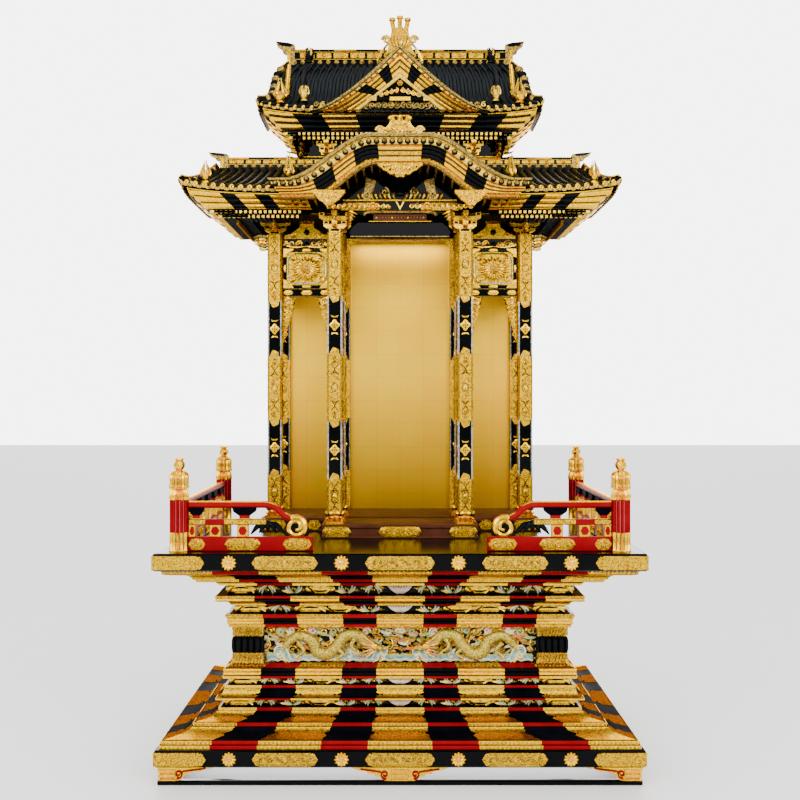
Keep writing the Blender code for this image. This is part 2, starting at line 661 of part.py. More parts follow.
def build_rear_wall(z):
    """Gilded wall with four pilasters, closed behind."""
    front = depth(REAR_WALL_FRONT)
    back = front + REAR_WALL_THICKNESS
    proud = front - PILASTER_RELIEF
    half = COLUMN_WIDTH / 2
    plan = [(OUTER_COLUMN_X + half, back), (-OUTER_COLUMN_X - half, back)]
    for x in (-OUTER_COLUMN_X, -INNER_COLUMN_X, INNER_COLUMN_X, OUTER_COLUMN_X):
        edge = [(x - half, proud), (x + half, proud)]
        if x != -OUTER_COLUMN_X:
            edge.insert(0, (x - half, front))
        if x != OUTER_COLUMN_X:
            edge.append((x + half, front))
        plan += edge
    top = z + MAIN_COLUMN_HEIGHT + BRACKET_HEIGHT - GAP
    add("rear_wall", outline("rear_wall", [plan], z, top, upright=False), GOLD)


def transom_mesh(name, width):
    """Cusped spandrel, two beams, a panel with a flower boss, and a frog-leg strut; z=0 is the column top."""
    half = width / 2 - GAP
    top = -0.04 * TRANSOM_DROP
    arch = []
    for i in range(11):
        u = i / 5 - 1
        rise = math.sqrt(1 - min(1.0, abs(u) * 1.02) ** 2)
        cusp = 0.06 * abs(math.sin(u * 3 * math.pi))
        arch.append((-u * half * 0.94, -TRANSOM_DROP + TRANSOM_ARCH * max(0.0, rise - cusp)))
    strut = [(-0.6, 0.0), (-0.5, 0.35), (-0.16, 0.6), (-0.14, 1.0), (0.14, 1.0), (0.16, 0.6), (0.5, 0.35), (0.6, 0.0)]
    rise = BRACKET_HEIGHT - top - GAP
    points = [(-half, -TRANSOM_DROP), (-half, top)]
    points += [(x * half, top + level * rise) for x, level in strut]
    points += [(half, top), (half, -TRANSOM_DROP), *arch]
    thick = TRANSOM_THICKNESS / 2
    board = outline(name, [points], -thick, thick)
    proud = thick + BEAM_RELIEF
    low_beam = block("low_beam", (-half, -proud, -0.58 * TRANSOM_DROP), (half, proud, -0.506 * TRANSOM_DROP))
    high_beam = block("high_beam", (-half, -proud, -0.13 * TRANSOM_DROP), (half, proud, top - GAP))
    bm = bmesh.new()
    bmesh.ops.create_cone(bm, cap_ends=True, segments=8, radius1=0.133 * TRANSOM_DROP, radius2=0.065 * TRANSOM_DROP,
                          depth=2 * proud)
    bmesh.ops.rotate(bm, matrix=Matrix.Rotation(math.pi / 2, 3, "X"), verts=bm.verts)
    bmesh.ops.translate(bm, vec=(0, -BEAM_RELIEF, -0.318 * TRANSOM_DROP), verts=bm.verts)
    boss = to_mesh(bm, "boss")
    return combine(name, board, [low_beam, high_beam, boss], "UNION")


def build_transoms(z):
    half = COLUMN_WIDTH / 2
    row = depth(MAIN_ROW)
    clear = half * 1.2
    width = OUTER_COLUMN_X - INNER_COLUMN_X - 2 * clear
    middle = (OUTER_COLUMN_X + INNER_COLUMN_X) / 2
    side_start = row + clear
    side_end = depth(REAR_WALL_FRONT) - PILASTER_RELIEF
    top = z + MAIN_COLUMN_HEIGHT
    for side, word in ((-1, "left"), (1, "right")):
        name = f"front_transom_{word}"
        add(name, moved(transom_mesh(name, width), Matrix.Translation((side * middle, row, top))), CARVED)
        name = f"side_transom_{word}"
        turn = Matrix.Rotation(side * math.pi / 2, 4, "Z")
        place = Matrix.Translation((side * OUTER_COLUMN_X, (side_start + side_end) / 2, top)) @ turn
        add(name, moved(transom_mesh(name, side_end - side_start), place), CARVED)


def gable_top(x, base):
    """Height of the curved gable's upper edge."""
    u = abs(x) / GABLE_HALF_WIDTH
    return base + GABLE_SPRING + GABLE_END_HEIGHT + GABLE_RISE * (1 - smooth_step((u - 0.22) / 0.66))


def gable_under(x, base):
    """Height of the curved gable's lower edge."""
    u = abs(x) / GABLE_ARCH_HALF
    return base + GABLE_SPRING + GABLE_ARCH_RISE * (1 - smooth_step((u - 0.2) / 0.545))


def arch_edge(base, half):
    """Faceted lower edge of the curved gable, clipped at x=-half and x=half."""
    nodes = [GABLE_ARCH_HALF * (2 * i / GABLE_FACETS - 1) for i in range(GABLE_FACETS + 1)]
    points = []
    for left, right in zip(nodes, nodes[1:]):
        for x in (left, max(left, -half), min(right, half)):
            if left <= x <= right and abs(x) <= half + 1e-9:
                share = (x - left) / (right - left)
                level = gable_under(left, base) * (1 - share) + gable_under(right, base) * share
                if not points or x > points[-1][0] + 1e-6:
                    points.append((x, level))
    return points


def bracket_steps(half):
    """Half-widths and levels of a stepped bracket set."""
    return ((0.55 * half, 0.0), (0.55 * half, 0.25), (0.78 * half, 0.35), (0.78 * half, 0.6), (half, 0.7), (half, 1.0))


def build_porch_front(z):
    """Beam over the two porch columns with their brackets, and the board that fills the arch."""
    base = z + PORCH_COLUMN_HEIGHT
    arch_base = z + MAIN_COLUMN_HEIGHT + BRACKET_HEIGHT + EAVES_THICKNESS
    beam_low = arch_base + PORCH_BEAM_LIFT
    beam_half = NOTCH_HALF - COLUMN_CAP_HEIGHT
    y = depth(PORCH_ROW)
    points = [(-beam_half, beam_low), (beam_half, beam_low)]
    points += [(x, level - 2 * GAP) for x, level in reversed(arch_edge(arch_base, beam_half))]
    board = outline("porch_front", [points], y - PORCH_BOARD_THICKNESS / 2, y + PORCH_BOARD_THICKNESS / 2)
    low = (-beam_half + BITE, y - PORCH_BEAM_THICKNESS / 2, beam_low + BITE)
    high = (beam_half - BITE, y + PORCH_BEAM_THICKNESS / 2, beam_low + PORCH_BEAM_HEIGHT)
    extras = [block("beam", low, high)]
    rise = beam_low + 2 * BITE - base
    for side in (-1, 1):
        rings = [rectangle(wide, 0.5 * wide, base + level * rise) for wide, level in bracket_steps(BRACKET_HALF_WIDTH)]
        extras.append(moved(loft("bracket", rings), Matrix.Translation((side * INNER_COLUMN_X, y, 0))))
    add("porch_front", combine("porch_front", board, extras, "UNION"), BLACK)


def build_eaves(z):
    """Board under the lower roof, with the bracket sets of the main columns and the inner lintel."""
    bottom = z + MAIN_COLUMN_HEIGHT + BRACKET_HEIGHT
    top = bottom + EAVES_THICKNESS
    half = LOWER_EAVE_HALF - FASCIA_SLANT - EAVES_INSET
    front = depth(LOWER_EAVE_FRONT) + 3 * EAVES_INSET
    back = depth(LOWER_EAVE_BACK) - 3 * EAVES_INSET
    notch = notch_back()
    plan = [(-half, front), (-NOTCH_HALF, front), (-NOTCH_HALF, notch), (NOTCH_HALF, notch), (NOTCH_HALF, front),
            (half, front), (half, back), (-half, back)]
    board = outline("lower_eaves", [plan], bottom, top - GAP, upright=False)
    row = depth(MAIN_ROW)
    low = bottom - BRACKET_HEIGHT
    lintel_half = INNER_COLUMN_X - COLUMN_WIDTH * 0.6 - GAP
    extras = [block("lintel", (-lintel_half, row - LINTEL_THICKNESS / 2, low - LINTEL_DROP),
                    (lintel_half, row + LINTEL_THICKNESS / 2, bottom + BITE))]
    rise = BRACKET_HEIGHT + BITE
    for x in (-OUTER_COLUMN_X, -INNER_COLUMN_X, INNER_COLUMN_X, OUTER_COLUMN_X):
        rings = [rectangle(wide, wide, low + level * rise) for wide, level in bracket_steps(BRACKET_HALF_WIDTH)]
        extras.append(moved(loft("bracket", rings), Matrix.Translation((x, row, 0))))
    add("lower_eaves", combine("lower_eaves", board, extras, "UNION"), GOLD)
    return top


def notch_back():
    """World Y where the lower roof is cut out for the porch."""
    return depth(PORCH_ROW) + NOTCH_BACK


def tiled_ring(half_x, front, back, z, rib, sweep, counts):
    """One level of a hipped tile slope: every second point stands up by rib, sweep lifts the corners."""
    corners = [(-half_x, front), (half_x, front), (half_x, back), (-half_x, back)]
    points = []
    for k in range(4):
        ax, ay = corners[k]
        bx, by = corners[(k + 1) % 4]
        count = counts[k % 2]
        for i in range(count):
            share = i / count
            lift = sweep * abs(2 * share - 1) ** 6 + (rib if i % 2 else 0.0)
            points.append((ax + (bx - ax) * share, ay + (by - ay) * share, z + lift))
    return points


def roof_levels(bottom, half, front, back, fascia, rise, top_half, top_front, top_back):
    """Rings of a roof: slanting fascia, tile edge, concave slope and flat top."""
    edge = bottom + fascia
    counts = (2 * round(2 * half / ROOF_RIB_PITCH), 2 * max(2, round((back - front) / SIDE_RIB_PITCH)))
    tile_half = half + TILE_LIP
    tile_front = front - TILE_LIP / 2
    tile_back = back + TILE_LIP / 2
    crown = edge + TILE_EDGE
    lean = FASCIA_SLANT / 3
    break_plan = (tile_half + (top_half - tile_half) * SLOPE_BREAK,
                  tile_front + (top_front - tile_front) * SLOPE_BREAK,
                  tile_back + (top_back - tile_back) * SLOPE_BREAK)
    break_level = crown + (rise - TILE_EDGE) * SLOPE_SAG
    return [tiled_ring(half - FASCIA_SLANT, front + lean, back - lean, bottom, 0, 0, counts),
            tiled_ring(half, front, back, edge, 0, CORNER_SWEEP * 0.7, counts),
            tiled_ring(tile_half, tile_front, tile_back, edge + TILE_EDGE / 3, 0, CORNER_SWEEP * 0.9, counts),
            tiled_ring(tile_half, tile_front, tile_back, crown, RIB_HEIGHT, CORNER_SWEEP, counts),
            tiled_ring(*break_plan, break_level, RIB_HEIGHT, CORNER_SWEEP * 0.3, counts),
            tiled_ring(top_half, top_front, top_back, edge + rise - BITE, RIB_HEIGHT * 0.1, 0, counts),
            tiled_ring(top_half, top_front, top_back, edge + rise, 0, 0, counts)]


def slope_cutter(name, bottom, front, fascia, rise, top_front, width):
    """Prism that holds the front slope of a roof with a little room above its ribs."""
    edge = bottom + fascia
    start = front - TILE_LIP / 2
    lift = RIB_HEIGHT + CORNER_SWEEP * 0.08 + GAP
    middle = start + (top_front - start) * SLOPE_BREAK
    profile = [(start - GAP, bottom - 0.2), (start - GAP, edge + TILE_EDGE + lift),
               (middle, edge + TILE_EDGE + (rise - TILE_EDGE) * SLOPE_SAG + lift), (top_front - 0.01, edge + rise + GAP),
               (top_front + 0.4, edge + rise + GAP), (top_front + 0.4, bottom - 0.2)]
    rings = [[(x, y, z) for y, z in profile] for x in (-width, width)]
    return loft(name, rings)


def ridge_mesh(name, half, height, y, z, tip):
    """Ridge with a curled ornament at each end."""
    right = [(1.0, 0.0, 0), (1.0, 0.1, 0.35), (1.0, 0.35, 0.75), (1.0, 0.5, 1.0), (1.0, 1.05, 0.9), (1.0, 1.35, 0.6),
             (1.0, 1.5, 0.25), (1.0, 1.0, -0.1)]
    points = [(half + tip * out, z + height * level) for _, level, out in right]
    points += [(-x, level) for x, level in reversed(points)]
    return outline(name, [points], y - RIDGE_THICKNESS / 2, y + RIDGE_THICKNESS / 2)


def crest_points(width, height, x, z):
    """Three-pronged crown over two side curls."""
    right = [(0.5, 0.0), (0.5, 0.2), (0.36, 0.3), (0.42, 0.5), (0.26, 0.62), (0.2, 0.4), (0.1, 0.45), (0.12, 0.72),
             (0.0, 1.0)]
    points = [(x + a * width, z + b * height) for a, b in right]
    return points + [(2 * x - px, pz) for px, pz in reversed(points[:-1])]


def arch_ring(y, base, share):
    """Outline of the curved gable at one depth, its lower edge at this share of the band."""
    top = []
    low = []
    for i in range(GABLE_FACETS + 1):
        u = 2 * i / GABLE_FACETS - 1
        x = GABLE_HALF_WIDTH * u
        inner = GABLE_ARCH_HALF * u
        high = gable_top(x, base)
        under = gable_under(inner, base)
        low.append((x + (inner - x) * share, y, high + (under - high) * share))
        top.append((x, y, high))
    return low + top[::-1]


def build_lower_roof(z):
    """Eaves, tiled roof, ridge and curved porch gable; returns the height of the roof's flat top."""
    base = build_eaves(z)
    front = depth(LOWER_EAVE_FRONT)
    top_front = depth(LOWER_TOP_FRONT)
    rings = roof_levels(base, LOWER_EAVE_HALF, front, depth(LOWER_EAVE_BACK), LOWER_FASCIA_HEIGHT, LOWER_SLOPE_RISE,
                        LOWER_TOP_HALF, top_front, depth(LOWER_TOP_BACK))
    notch = block("notch", (-NOTCH_HALF, front - 0.1, base - 0.1), (NOTCH_HALF, notch_back(), base + 0.5))
    add("lower_roof", combine("lower_roof", loft("lower_roof", rings), [notch], "DIFFERENCE"), TILE)
    top = base + LOWER_FASCIA_HEIGHT + LOWER_SLOPE_RISE + GAP
    ridge_y = top_front + RIDGE_THICKNESS / 2 + 0.002
    add("lower_ridge", ridge_mesh("lower_ridge", LOWER_TOP_HALF - 0.03, LOWER_RIDGE_HEIGHT, ridge_y, top, 0.06), BLACK)
    steps = ((GABLE_FRONT, 0.34), (GABLE_FRONT + BARGE_STEP, 0.34), (GABLE_FRONT + BARGE_STEP, 0.67),
             (GABLE_FRONT + 2 * BARGE_STEP, 0.67), (GABLE_FRONT + 2 * BARGE_STEP, 1.0),
             (LOWER_TOP_FRONT - 0.002, 1.0))
    gable = loft("porch_gable", [arch_ring(depth(at), base, share) for at, share in steps])
    slope = slope_cutter("slope", base, front, LOWER_FASCIA_HEIGHT, LOWER_SLOPE_RISE, top_front, 0.7)
    keep = block("keep", (-NOTCH_HALF + GAP, front - 0.2, base - 0.3),
                 (NOTCH_HALF - GAP, notch_back() - GAP, base + 0.6))
    slope = combine("slope", slope, [keep], "DIFFERENCE")
    add("porch_gable", combine("porch_gable", gable, [slope], "DIFFERENCE"), BLACK)
    crest_z = gable_top(0, base) + GAP
    crest = outline("porch_crest", [crest_points(CREST_WIDTH, CREST_HEIGHT, 0, crest_z)],
                    depth(GABLE_FRONT) + CREST_SETBACK, depth(GABLE_FRONT) + CREST_SETBACK + CREST_THICKNESS)
    add("porch_crest", crest, GOLD)
    return top


def build_upper_storey(z):
    """Body with flaring brackets, tiled roof, ridge and front gable."""
    front = depth(BODY_FRONT)
    back = depth(BODY_BACK)
    flare = ((0, 0), (0, 0.4), (0.025, 0.44), (0.025, 0.58), (0.05, 0.62), (0.05, 0.76), (0.07, 0.8), (0.075, 1.0))
    rings = [room(BODY_HALF_WIDTH + out, front - out, back + out, z + level * (BODY_HEIGHT - GAP))
             for out, level in flare]
    add("upper_body", loft("upper_body", rings), GOLD)
    base = z + BODY_HEIGHT
    eave = depth(UPPER_EAVE_FRONT)
    ridge_y = depth(UPPER_RIDGE_Y)
    ridge_front = ridge_y - RIDGE_THICKNESS / 2
    rings = roof_levels(base, UPPER_EAVE_HALF, eave, depth(UPPER_EAVE_BACK), UPPER_FASCIA_HEIGHT, UPPER_SLOPE_RISE,
                        UPPER_RIDGE_HALF, ridge_front, ridge_y + RIDGE_THICKNESS / 2)
    add("upper_roof", loft("upper_roof", rings), TILE)
    top = base + UPPER_FASCIA_HEIGHT + UPPER_SLOPE_RISE + GAP
    add("upper_ridge", ridge_mesh("upper_ridge", UPPER_RIDGE_HALF - 0.01, UPPER_RIDGE_HEIGHT, ridge_y, top, 0.06), BLACK)
    low = base + DORMER_BASE
    count = 6
    verge = []
    for i in range(2 * count + 1):
        u = 1 - i / count
        verge.append((u * DORMER_HALF_WIDTH, low + DORMER_HEIGHT * (1 - abs(u) ** 0.76)))
    foot = DORMER_FOOT * DORMER_HALF_WIDTH
    inner = [(x * 0.8, zz - DORMER_BAND) for x, zz in verge if zz - DORMER_BAND > low + 0.03]
    at = depth(DORMER_FRONT)
    band = outline("band", [[*verge, (-foot, low), *inner[::-1], (foot, low)]], at, at + DORMER_THICKNESS)
    gable = outline("gable", [[(x * 0.93, zz - CROWN_SINK * (1 - abs(x) / DORMER_HALF_WIDTH)) for x, zz in verge]],
                    at + 0.6 * DORMER_THICKNESS, ridge_y - RIDGE_THICKNESS)
    slope = slope_cutter("slope", base, eave, UPPER_FASCIA_HEIGHT, UPPER_SLOPE_RISE, ridge_front, 0.6)
    crown_z = low + DORMER_HEIGHT - CROWN_SINK
    crown = outline("crown", [crest_points(CROWN_WIDTH, CROWN_HEIGHT, 0, crown_z)],
                    at + CROWN_SETBACK, at + CROWN_SETBACK + 0.6 * DORMER_THICKNESS)
    shape = combine("upper_gable", band, [gable, crown], "UNION")
    add("upper_gable", combine("upper_gable", shape, [slope], "DIFFERENCE"), BLACK)


def main():
    level = build_base()
    level = build_lower_steps(level)
    level = build_waist(level)
    level = build_upper_steps(level)
    build_railings(level)
    floor = build_plinth(level)
    build_columns(floor)
    build_rear_wall(floor)
    build_transoms(floor)
    build_porch_front(floor)
    roof_top = build_lower_roof(floor)
    build_upper_storey(roof_top)


main()
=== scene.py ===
"""Looks of the altar dais and its palace: lacquer, gilded fittings, carving, tiles and rafters."""

import math

import bmesh
import bpy
import numpy as np
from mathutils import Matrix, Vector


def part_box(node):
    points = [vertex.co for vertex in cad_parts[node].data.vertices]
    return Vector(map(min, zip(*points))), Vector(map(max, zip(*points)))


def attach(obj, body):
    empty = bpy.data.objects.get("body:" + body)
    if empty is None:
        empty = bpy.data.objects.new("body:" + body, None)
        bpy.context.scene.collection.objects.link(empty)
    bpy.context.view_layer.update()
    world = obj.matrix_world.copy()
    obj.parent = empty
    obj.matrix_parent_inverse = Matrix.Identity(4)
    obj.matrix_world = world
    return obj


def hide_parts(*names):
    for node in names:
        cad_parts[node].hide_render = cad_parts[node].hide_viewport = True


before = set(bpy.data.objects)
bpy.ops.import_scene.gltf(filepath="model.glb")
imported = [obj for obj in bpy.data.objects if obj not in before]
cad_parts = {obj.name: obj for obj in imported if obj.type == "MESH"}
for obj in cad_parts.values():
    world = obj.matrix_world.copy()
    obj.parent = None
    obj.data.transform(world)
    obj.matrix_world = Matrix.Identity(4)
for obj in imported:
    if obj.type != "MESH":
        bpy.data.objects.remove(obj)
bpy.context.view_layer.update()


def corners(node):
    """Lowest and highest corner of a CAD node as two arrays."""
    low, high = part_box(node)
    return np.array(low, float), np.array(high, float)


LOW, HIGH = corners("top_board")
HALF_X = HIGH[0]
HALF_Y = HIGH[1]
DECK = HIGH[2]
FLOOR = corners("plinth")[1][2]
COLUMN_TOP = corners("inner_column_left")[1][2]
PORCH_TOP = corners("porch_column_left")[1][2]
SIGNS = (-1, 1)
QUADRANTS = [(a, b) for a in SIGNS for b in SIGNS]
UP = (0, 0, 1)


def named(pattern, firsts, seconds=("left", "right")):
    """Node names from a pattern with two blanks."""
    return [pattern.format(a, b) for a in firsts for b in seconds]


def set_sockets(node, values):
    for socket, value in values.items():
        node.inputs[socket].default_value = value


# Camera, light and floor

CAMERA_DISTANCE = 4.03
METRES_PER_PIXEL = 0.00367
EYE_HEIGHT = 1.42
SENSOR = 36.0
PICTURE_WIDTH = 800

camera_data = bpy.data.cameras.new("camera")
camera_data.sensor_width = SENSOR
camera_data.lens = SENSOR * CAMERA_DISTANCE / (METRES_PER_PIXEL * PICTURE_WIDTH)
camera = bpy.data.objects.new("camera", camera_data)
camera.location = (0, -HALF_Y - CAMERA_DISTANCE, EYE_HEIGHT)
camera.rotation_euler = (math.pi / 2, 0, 0)
bpy.context.scene.collection.objects.link(camera)
bpy.context.scene.camera = camera


def soft_light(name, place, angles, size, power, colour=(1, 1, 1)):
    data = bpy.data.lights.new(name, "AREA")
    data.shape = "RECTANGLE"
    data.size = size[0]
    data.size_y = size[1]
    data.energy = power
    data.color = colour
    lamp = bpy.data.objects.new(name, data)
    lamp.location = place
    lamp.rotation_euler = [math.radians(a) for a in angles]
    bpy.context.scene.collection.objects.link(lamp)


soft_light("key_left", (-3.0, -4.4, 3.0), (66, 0, -34), (1.8, 2.6), 120)
soft_light("key_right", (3.0, -4.4, 3.0), (66, 0, 34), (1.8, 2.6), 120)
soft_light("top_light", (0, -0.8, 5.0), (0, 0, 0), (2.6, 1.8), 58)
soft_light("front_high", (0, -5.6, 3.5), (62, 0, 0), (3.6, 1.4), 76)
soft_light("shrine_lamp", (0, 0.30, 2.17), (24, 0, 0), (0.42, 0.12), 1.5, (1.0, 0.88, 0.68))
soft_light("under_lamp", (0, 0, 0.066), (0, 0, 0), (1.6, 1.0), 8.0)


def studio_world():
    """White backdrop behind the altar, a dimmer room in front that is brighter overhead."""
    world = bpy.data.worlds.new("studio")
    world.use_nodes = True
    tree = world.node_tree
    backdrop = tree.nodes["Background"]
    backdrop.inputs["Color"].default_value = (1, 1, 1, 1)
    direction = tree.nodes.new("ShaderNodeTexCoord")
    split = tree.nodes.new("ShaderNodeSeparateXYZ")
    tree.links.new(direction.outputs["Generated"], split.inputs["Vector"])
    fades = []
    for axis, low, high, dim, bright in (("Y", 0.62, 0.90, 0.0, 1.0), ("Z", -0.15, 0.30, 0.36, 1.38)):
        fade = tree.nodes.new("ShaderNodeMapRange")
        fade.interpolation_type = "SMOOTHSTEP"
        set_sockets(fade, {"From Min": low, "From Max": high, "To Min": dim, "To Max": bright})
        tree.links.new(split.outputs[axis], fade.inputs["Value"])
        fades.append(fade.outputs["Result"])
    blend = tree.nodes.new("ShaderNodeMix")
    blend.data_type = "FLOAT"
    tree.links.new(fades[0], blend.inputs[0])
    tree.links.new(fades[1], blend.inputs[2])
    blend.inputs[3].default_value = 6.0
    tree.links.new(blend.outputs[0], backdrop.inputs["Strength"])
    bpy.context.scene.world = world


studio_world()


# Finishes

def nodes_for(name):
    material = bpy.data.materials.new(name)
    material.use_nodes = True
    tree = material.node_tree
    shader = tree.nodes["Principled BSDF"]
    coordinates = tree.nodes.new("ShaderNodeTexCoord")
    return material, tree, shader, coordinates.outputs["Object"]


def noise_node(tree, where, scale, detail=4.0, roughness=0.6):
    node = tree.nodes.new("ShaderNodeTexNoise")
    set_sockets(node, {"Scale": scale, "Detail": detail, "Roughness": roughness})
    tree.links.new(where, node.inputs["Vector"])
    return node.outputs["Fac"]


def ramp_node(tree, value, stops):
    node = tree.nodes.new("ShaderNodeValToRGB")
    ramp = node.color_ramp
    ramp.elements[0].position = stops[0][0]
    ramp.elements[0].color = (*stops[0][1], 1)
    ramp.elements[1].position = stops[-1][0]
    ramp.elements[1].color = (*stops[-1][1], 1)
    for at, colour in stops[1:-1]:
        ramp.elements.new(at).color = (*colour, 1)
    tree.links.new(value, node.inputs["Fac"])
    return node.outputs["Color"]


def map_node(tree, value, low, high):
    node = tree.nodes.new("ShaderNodeMapRange")
    set_sockets(node, {"To Min": low, "To Max": high})
    tree.links.new(value, node.inputs["Value"])
    return node.outputs["Result"]


def bump_node(tree, shader, height, strength, distance):
    node = tree.nodes.new("ShaderNodeBump")
    set_sockets(node, {"Strength": strength, "Distance": distance})
    tree.links.new(height, node.inputs["Height"])
    tree.links.new(node.outputs["Normal"], shader.inputs["Normal"])


def lacquer(name, deep, light, rough, coat, gloss):
    """Polished urushi: faint mottling, slightly uneven gloss and a fine orange-peel."""
    material, tree, shader, where = nodes_for(name)
    mottle = noise_node(tree, where, 9.0, 5.0)
    tree.links.new(ramp_node(tree, mottle, [(0.3, deep), (0.75, light)]), shader.inputs["Base Color"])
    tree.links.new(map_node(tree, noise_node(tree, where, 35.0), *rough), shader.inputs["Roughness"])
    set_sockets(shader, {"Specular IOR Level": gloss, "Coat Weight": coat, "Coat Roughness": 0.04})
    bump_node(tree, shader, noise_node(tree, where, 140.0, 2.0), 0.0012, 0.0003)
    return material


def gilding(name, deep, light, scale=120.0, depth=0.5, rough=(0.18, 0.42), metal=1.0):
    """Gold over chased metal or carving: worn lights, orange hollows and engraved relief."""
    material, tree, shader, where = nodes_for(name)
    cells = tree.nodes.new("ShaderNodeTexVoronoi")
    cells.feature = "SMOOTH_F1"
    cells.inputs["Scale"].default_value = scale
    warp = noise_node(tree, where, scale * 0.35, 3.0)
    mixer = tree.nodes.new("ShaderNodeMixRGB")
    mixer.blend_type = "LINEAR_LIGHT"
    mixer.inputs["Fac"].default_value = 0.012
    tree.links.new(where, mixer.inputs[1])
    tree.links.new(warp, mixer.inputs[2])
    tree.links.new(mixer.outputs["Color"], cells.inputs["Vector"])
    colour = ramp_node(tree, cells.outputs["Distance"], [(0.15, light), (0.62, deep)])
    tree.links.new(colour, shader.inputs["Base Color"])
    tree.links.new(map_node(tree, noise_node(tree, where, 60.0), *rough), shader.inputs["Roughness"])
    set_sockets(shader, {"Metallic": metal, "Specular Tint": (*light, 1)})
    bump_node(tree, shader, cells.outputs["Distance"], depth, 0.0012)
    return material


def leaf_squares(name):
    """Gold leaf laid in squares, with darker seams, a slow drift of tone, and painted shade that darkens it
    towards the floor.
    """
    material, tree, shader, where = nodes_for(name)
    swap = tree.nodes.new("ShaderNodeMapping")
    swap.inputs["Rotation"].default_value = (math.pi / 2, 0, 0)
    tree.links.new(where, swap.inputs["Vector"])
    brick = tree.nodes.new("ShaderNodeTexBrick")
    brick.offset = 0.0
    set_sockets(brick, {"Scale": 1.0, "Brick Width": 0.109, "Row Height": 0.109, "Mortar Size": 0.0008,
                        "Mortar Smooth": 0.6, "Color1": (1.0, 0.57, 0.0, 1), "Color2": (1.0, 0.62, 0.0, 1),
                        "Mortar": (0.76, 0.37, 0.0, 1)})
    tree.links.new(swap.outputs["Vector"], brick.inputs["Vector"])
    drift = ramp_node(tree, noise_node(tree, where, 2.2, 2.0), [(0.3, (0.92, 0.82, 0.66)), (0.7, (1, 1, 1))])
    height = tree.nodes.new("ShaderNodeSeparateXYZ")
    tree.links.new(where, height.inputs["Vector"])
    # Painted shade: the leaf darkens from FLOOR + 0.62 down to the floor.
    fade = tree.nodes.new("ShaderNodeMapRange")
    set_sockets(fade, {"From Min": FLOOR, "From Max": FLOOR + 0.62})
    tree.links.new(height.outputs["Z"], fade.inputs["Value"])
    painted_shade = ramp_node(tree, fade.outputs["Result"], [(0.0, (0.40, 0.33, 0.24)), (1.0, (1, 1, 1))])
    colour = brick.outputs["Color"]
    for tint in (drift, painted_shade):
        mix = tree.nodes.new("ShaderNodeMixRGB")
        mix.blend_type = "MULTIPLY"
        mix.inputs["Fac"].default_value = 0.8
        tree.links.new(colour, mix.inputs[1])
        tree.links.new(tint, mix.inputs[2])
        colour = mix.outputs["Color"]
    tree.links.new(colour, shader.inputs["Base Color"])
    shader.inputs["Metallic"].default_value = 1.0
    tree.links.new(map_node(tree, noise_node(tree, where, 12.0, 2.0), 0.36, 0.44), shader.inputs["Roughness"])
    shader.inputs["Specular Tint"].default_value = (1.0, 0.75, 0.2, 1)
    bump_node(tree, shader, noise_node(tree, where, 90.0, 3.0), 0.006, 0.0004)
    return material


def pigment(name, deep, light, rough=(0.35, 0.6)):
    """Powdery mineral colour on carving, mottled at random, with fine bumps."""
    material, tree, shader, where = nodes_for(name)
    tree.links.new(ramp_node(tree, noise_node(tree, where, 70.0, 5.0), [(0.3, deep), (0.7, light)]),
                   shader.inputs["Base Color"])
    tree.links.new(map_node(tree, noise_node(tree, where, 50.0), *rough), shader.inputs["Roughness"])
    bump_node(tree, shader, noise_node(tree, where, 260.0, 3.0), 0.2, 0.0006)
    return material


def carved_ground(name):
    """Ground of a painted relief: dark pits between gilded, green and white ridges."""
    material, tree, shader, where = nodes_for(name)
    folds = noise_node(tree, where, 46.0, 6.0, 0.7)
    colour = ramp_node(tree, folds, [(0.38, (0.012, 0.010, 0.006)), (0.46, (0.34, 0.19, 0.02)),
                                     (0.53, (0.80, 0.52, 0.12)), (0.60, (0.42, 0.50, 0.26)),
                                     (0.70, (0.85, 0.82, 0.62))])
    tree.links.new(colour, shader.inputs["Base Color"])
    tree.links.new(map_node(tree, folds, 0.3, 0.6), shader.inputs["Roughness"])
    shader.inputs["Metallic"].default_value = 0.35
    bump_node(tree, shader, folds, 0.9, 0.004)
    return material


BLACK = lacquer("black_lacquer", (0.0006, 0.0008, 0.0010), (0.0018, 0.0022, 0.0028), (0.04, 0.08), 0.02,
                0.045)
MATT = lacquer("matt_black", (0.0008, 0.0009, 0.0012), (0.0030, 0.0034, 0.0060), (0.34, 0.50), 0.0, 0.002)
SATIN = lacquer("satin_black", (0.0006, 0.0008, 0.0010), (0.0018, 0.0022, 0.0028), (0.13, 0.19), 0.0, 0.05)
RED = lacquer("red_lacquer", (0.20, 0.0015, 0.004), (0.29, 0.003, 0.007), (0.22, 0.36), 0.0, 0.012)
# pale red for the lines in the red flutes: painted highlights
FLUTE_HIGHLIGHT = lacquer("red_flute_highlight", (0.42, 0.08, 0.09), (0.62, 0.20, 0.20), (0.20, 0.34), 0.02, 0.20)
BROWN = lacquer("brown_lacquer", (0.050, 0.014, 0.006), (0.105, 0.034, 0.016), (0.35, 0.50), 0.0, 0.04)
TILE = lacquer("tile_lacquer", (0.0008, 0.0022, 0.0030), (0.0020, 0.0050, 0.0062), (0.16, 0.28), 0.0, 0.05)
GOLD = gilding("bright_gold", (0.74, 0.36, 0.0), (1.0, 0.63, 0.0), 150.0, 0.30, (0.16, 0.34))
CHASED = gilding("chased_gold", (0.26, 0.10, 0.0), (1.0, 0.62, 0.0), 230.0, 0.9)
WARM = gilding("warm_gold", (0.34, 0.17, 0.0), (0.92, 0.58, 0.0), 200.0, 0.8)
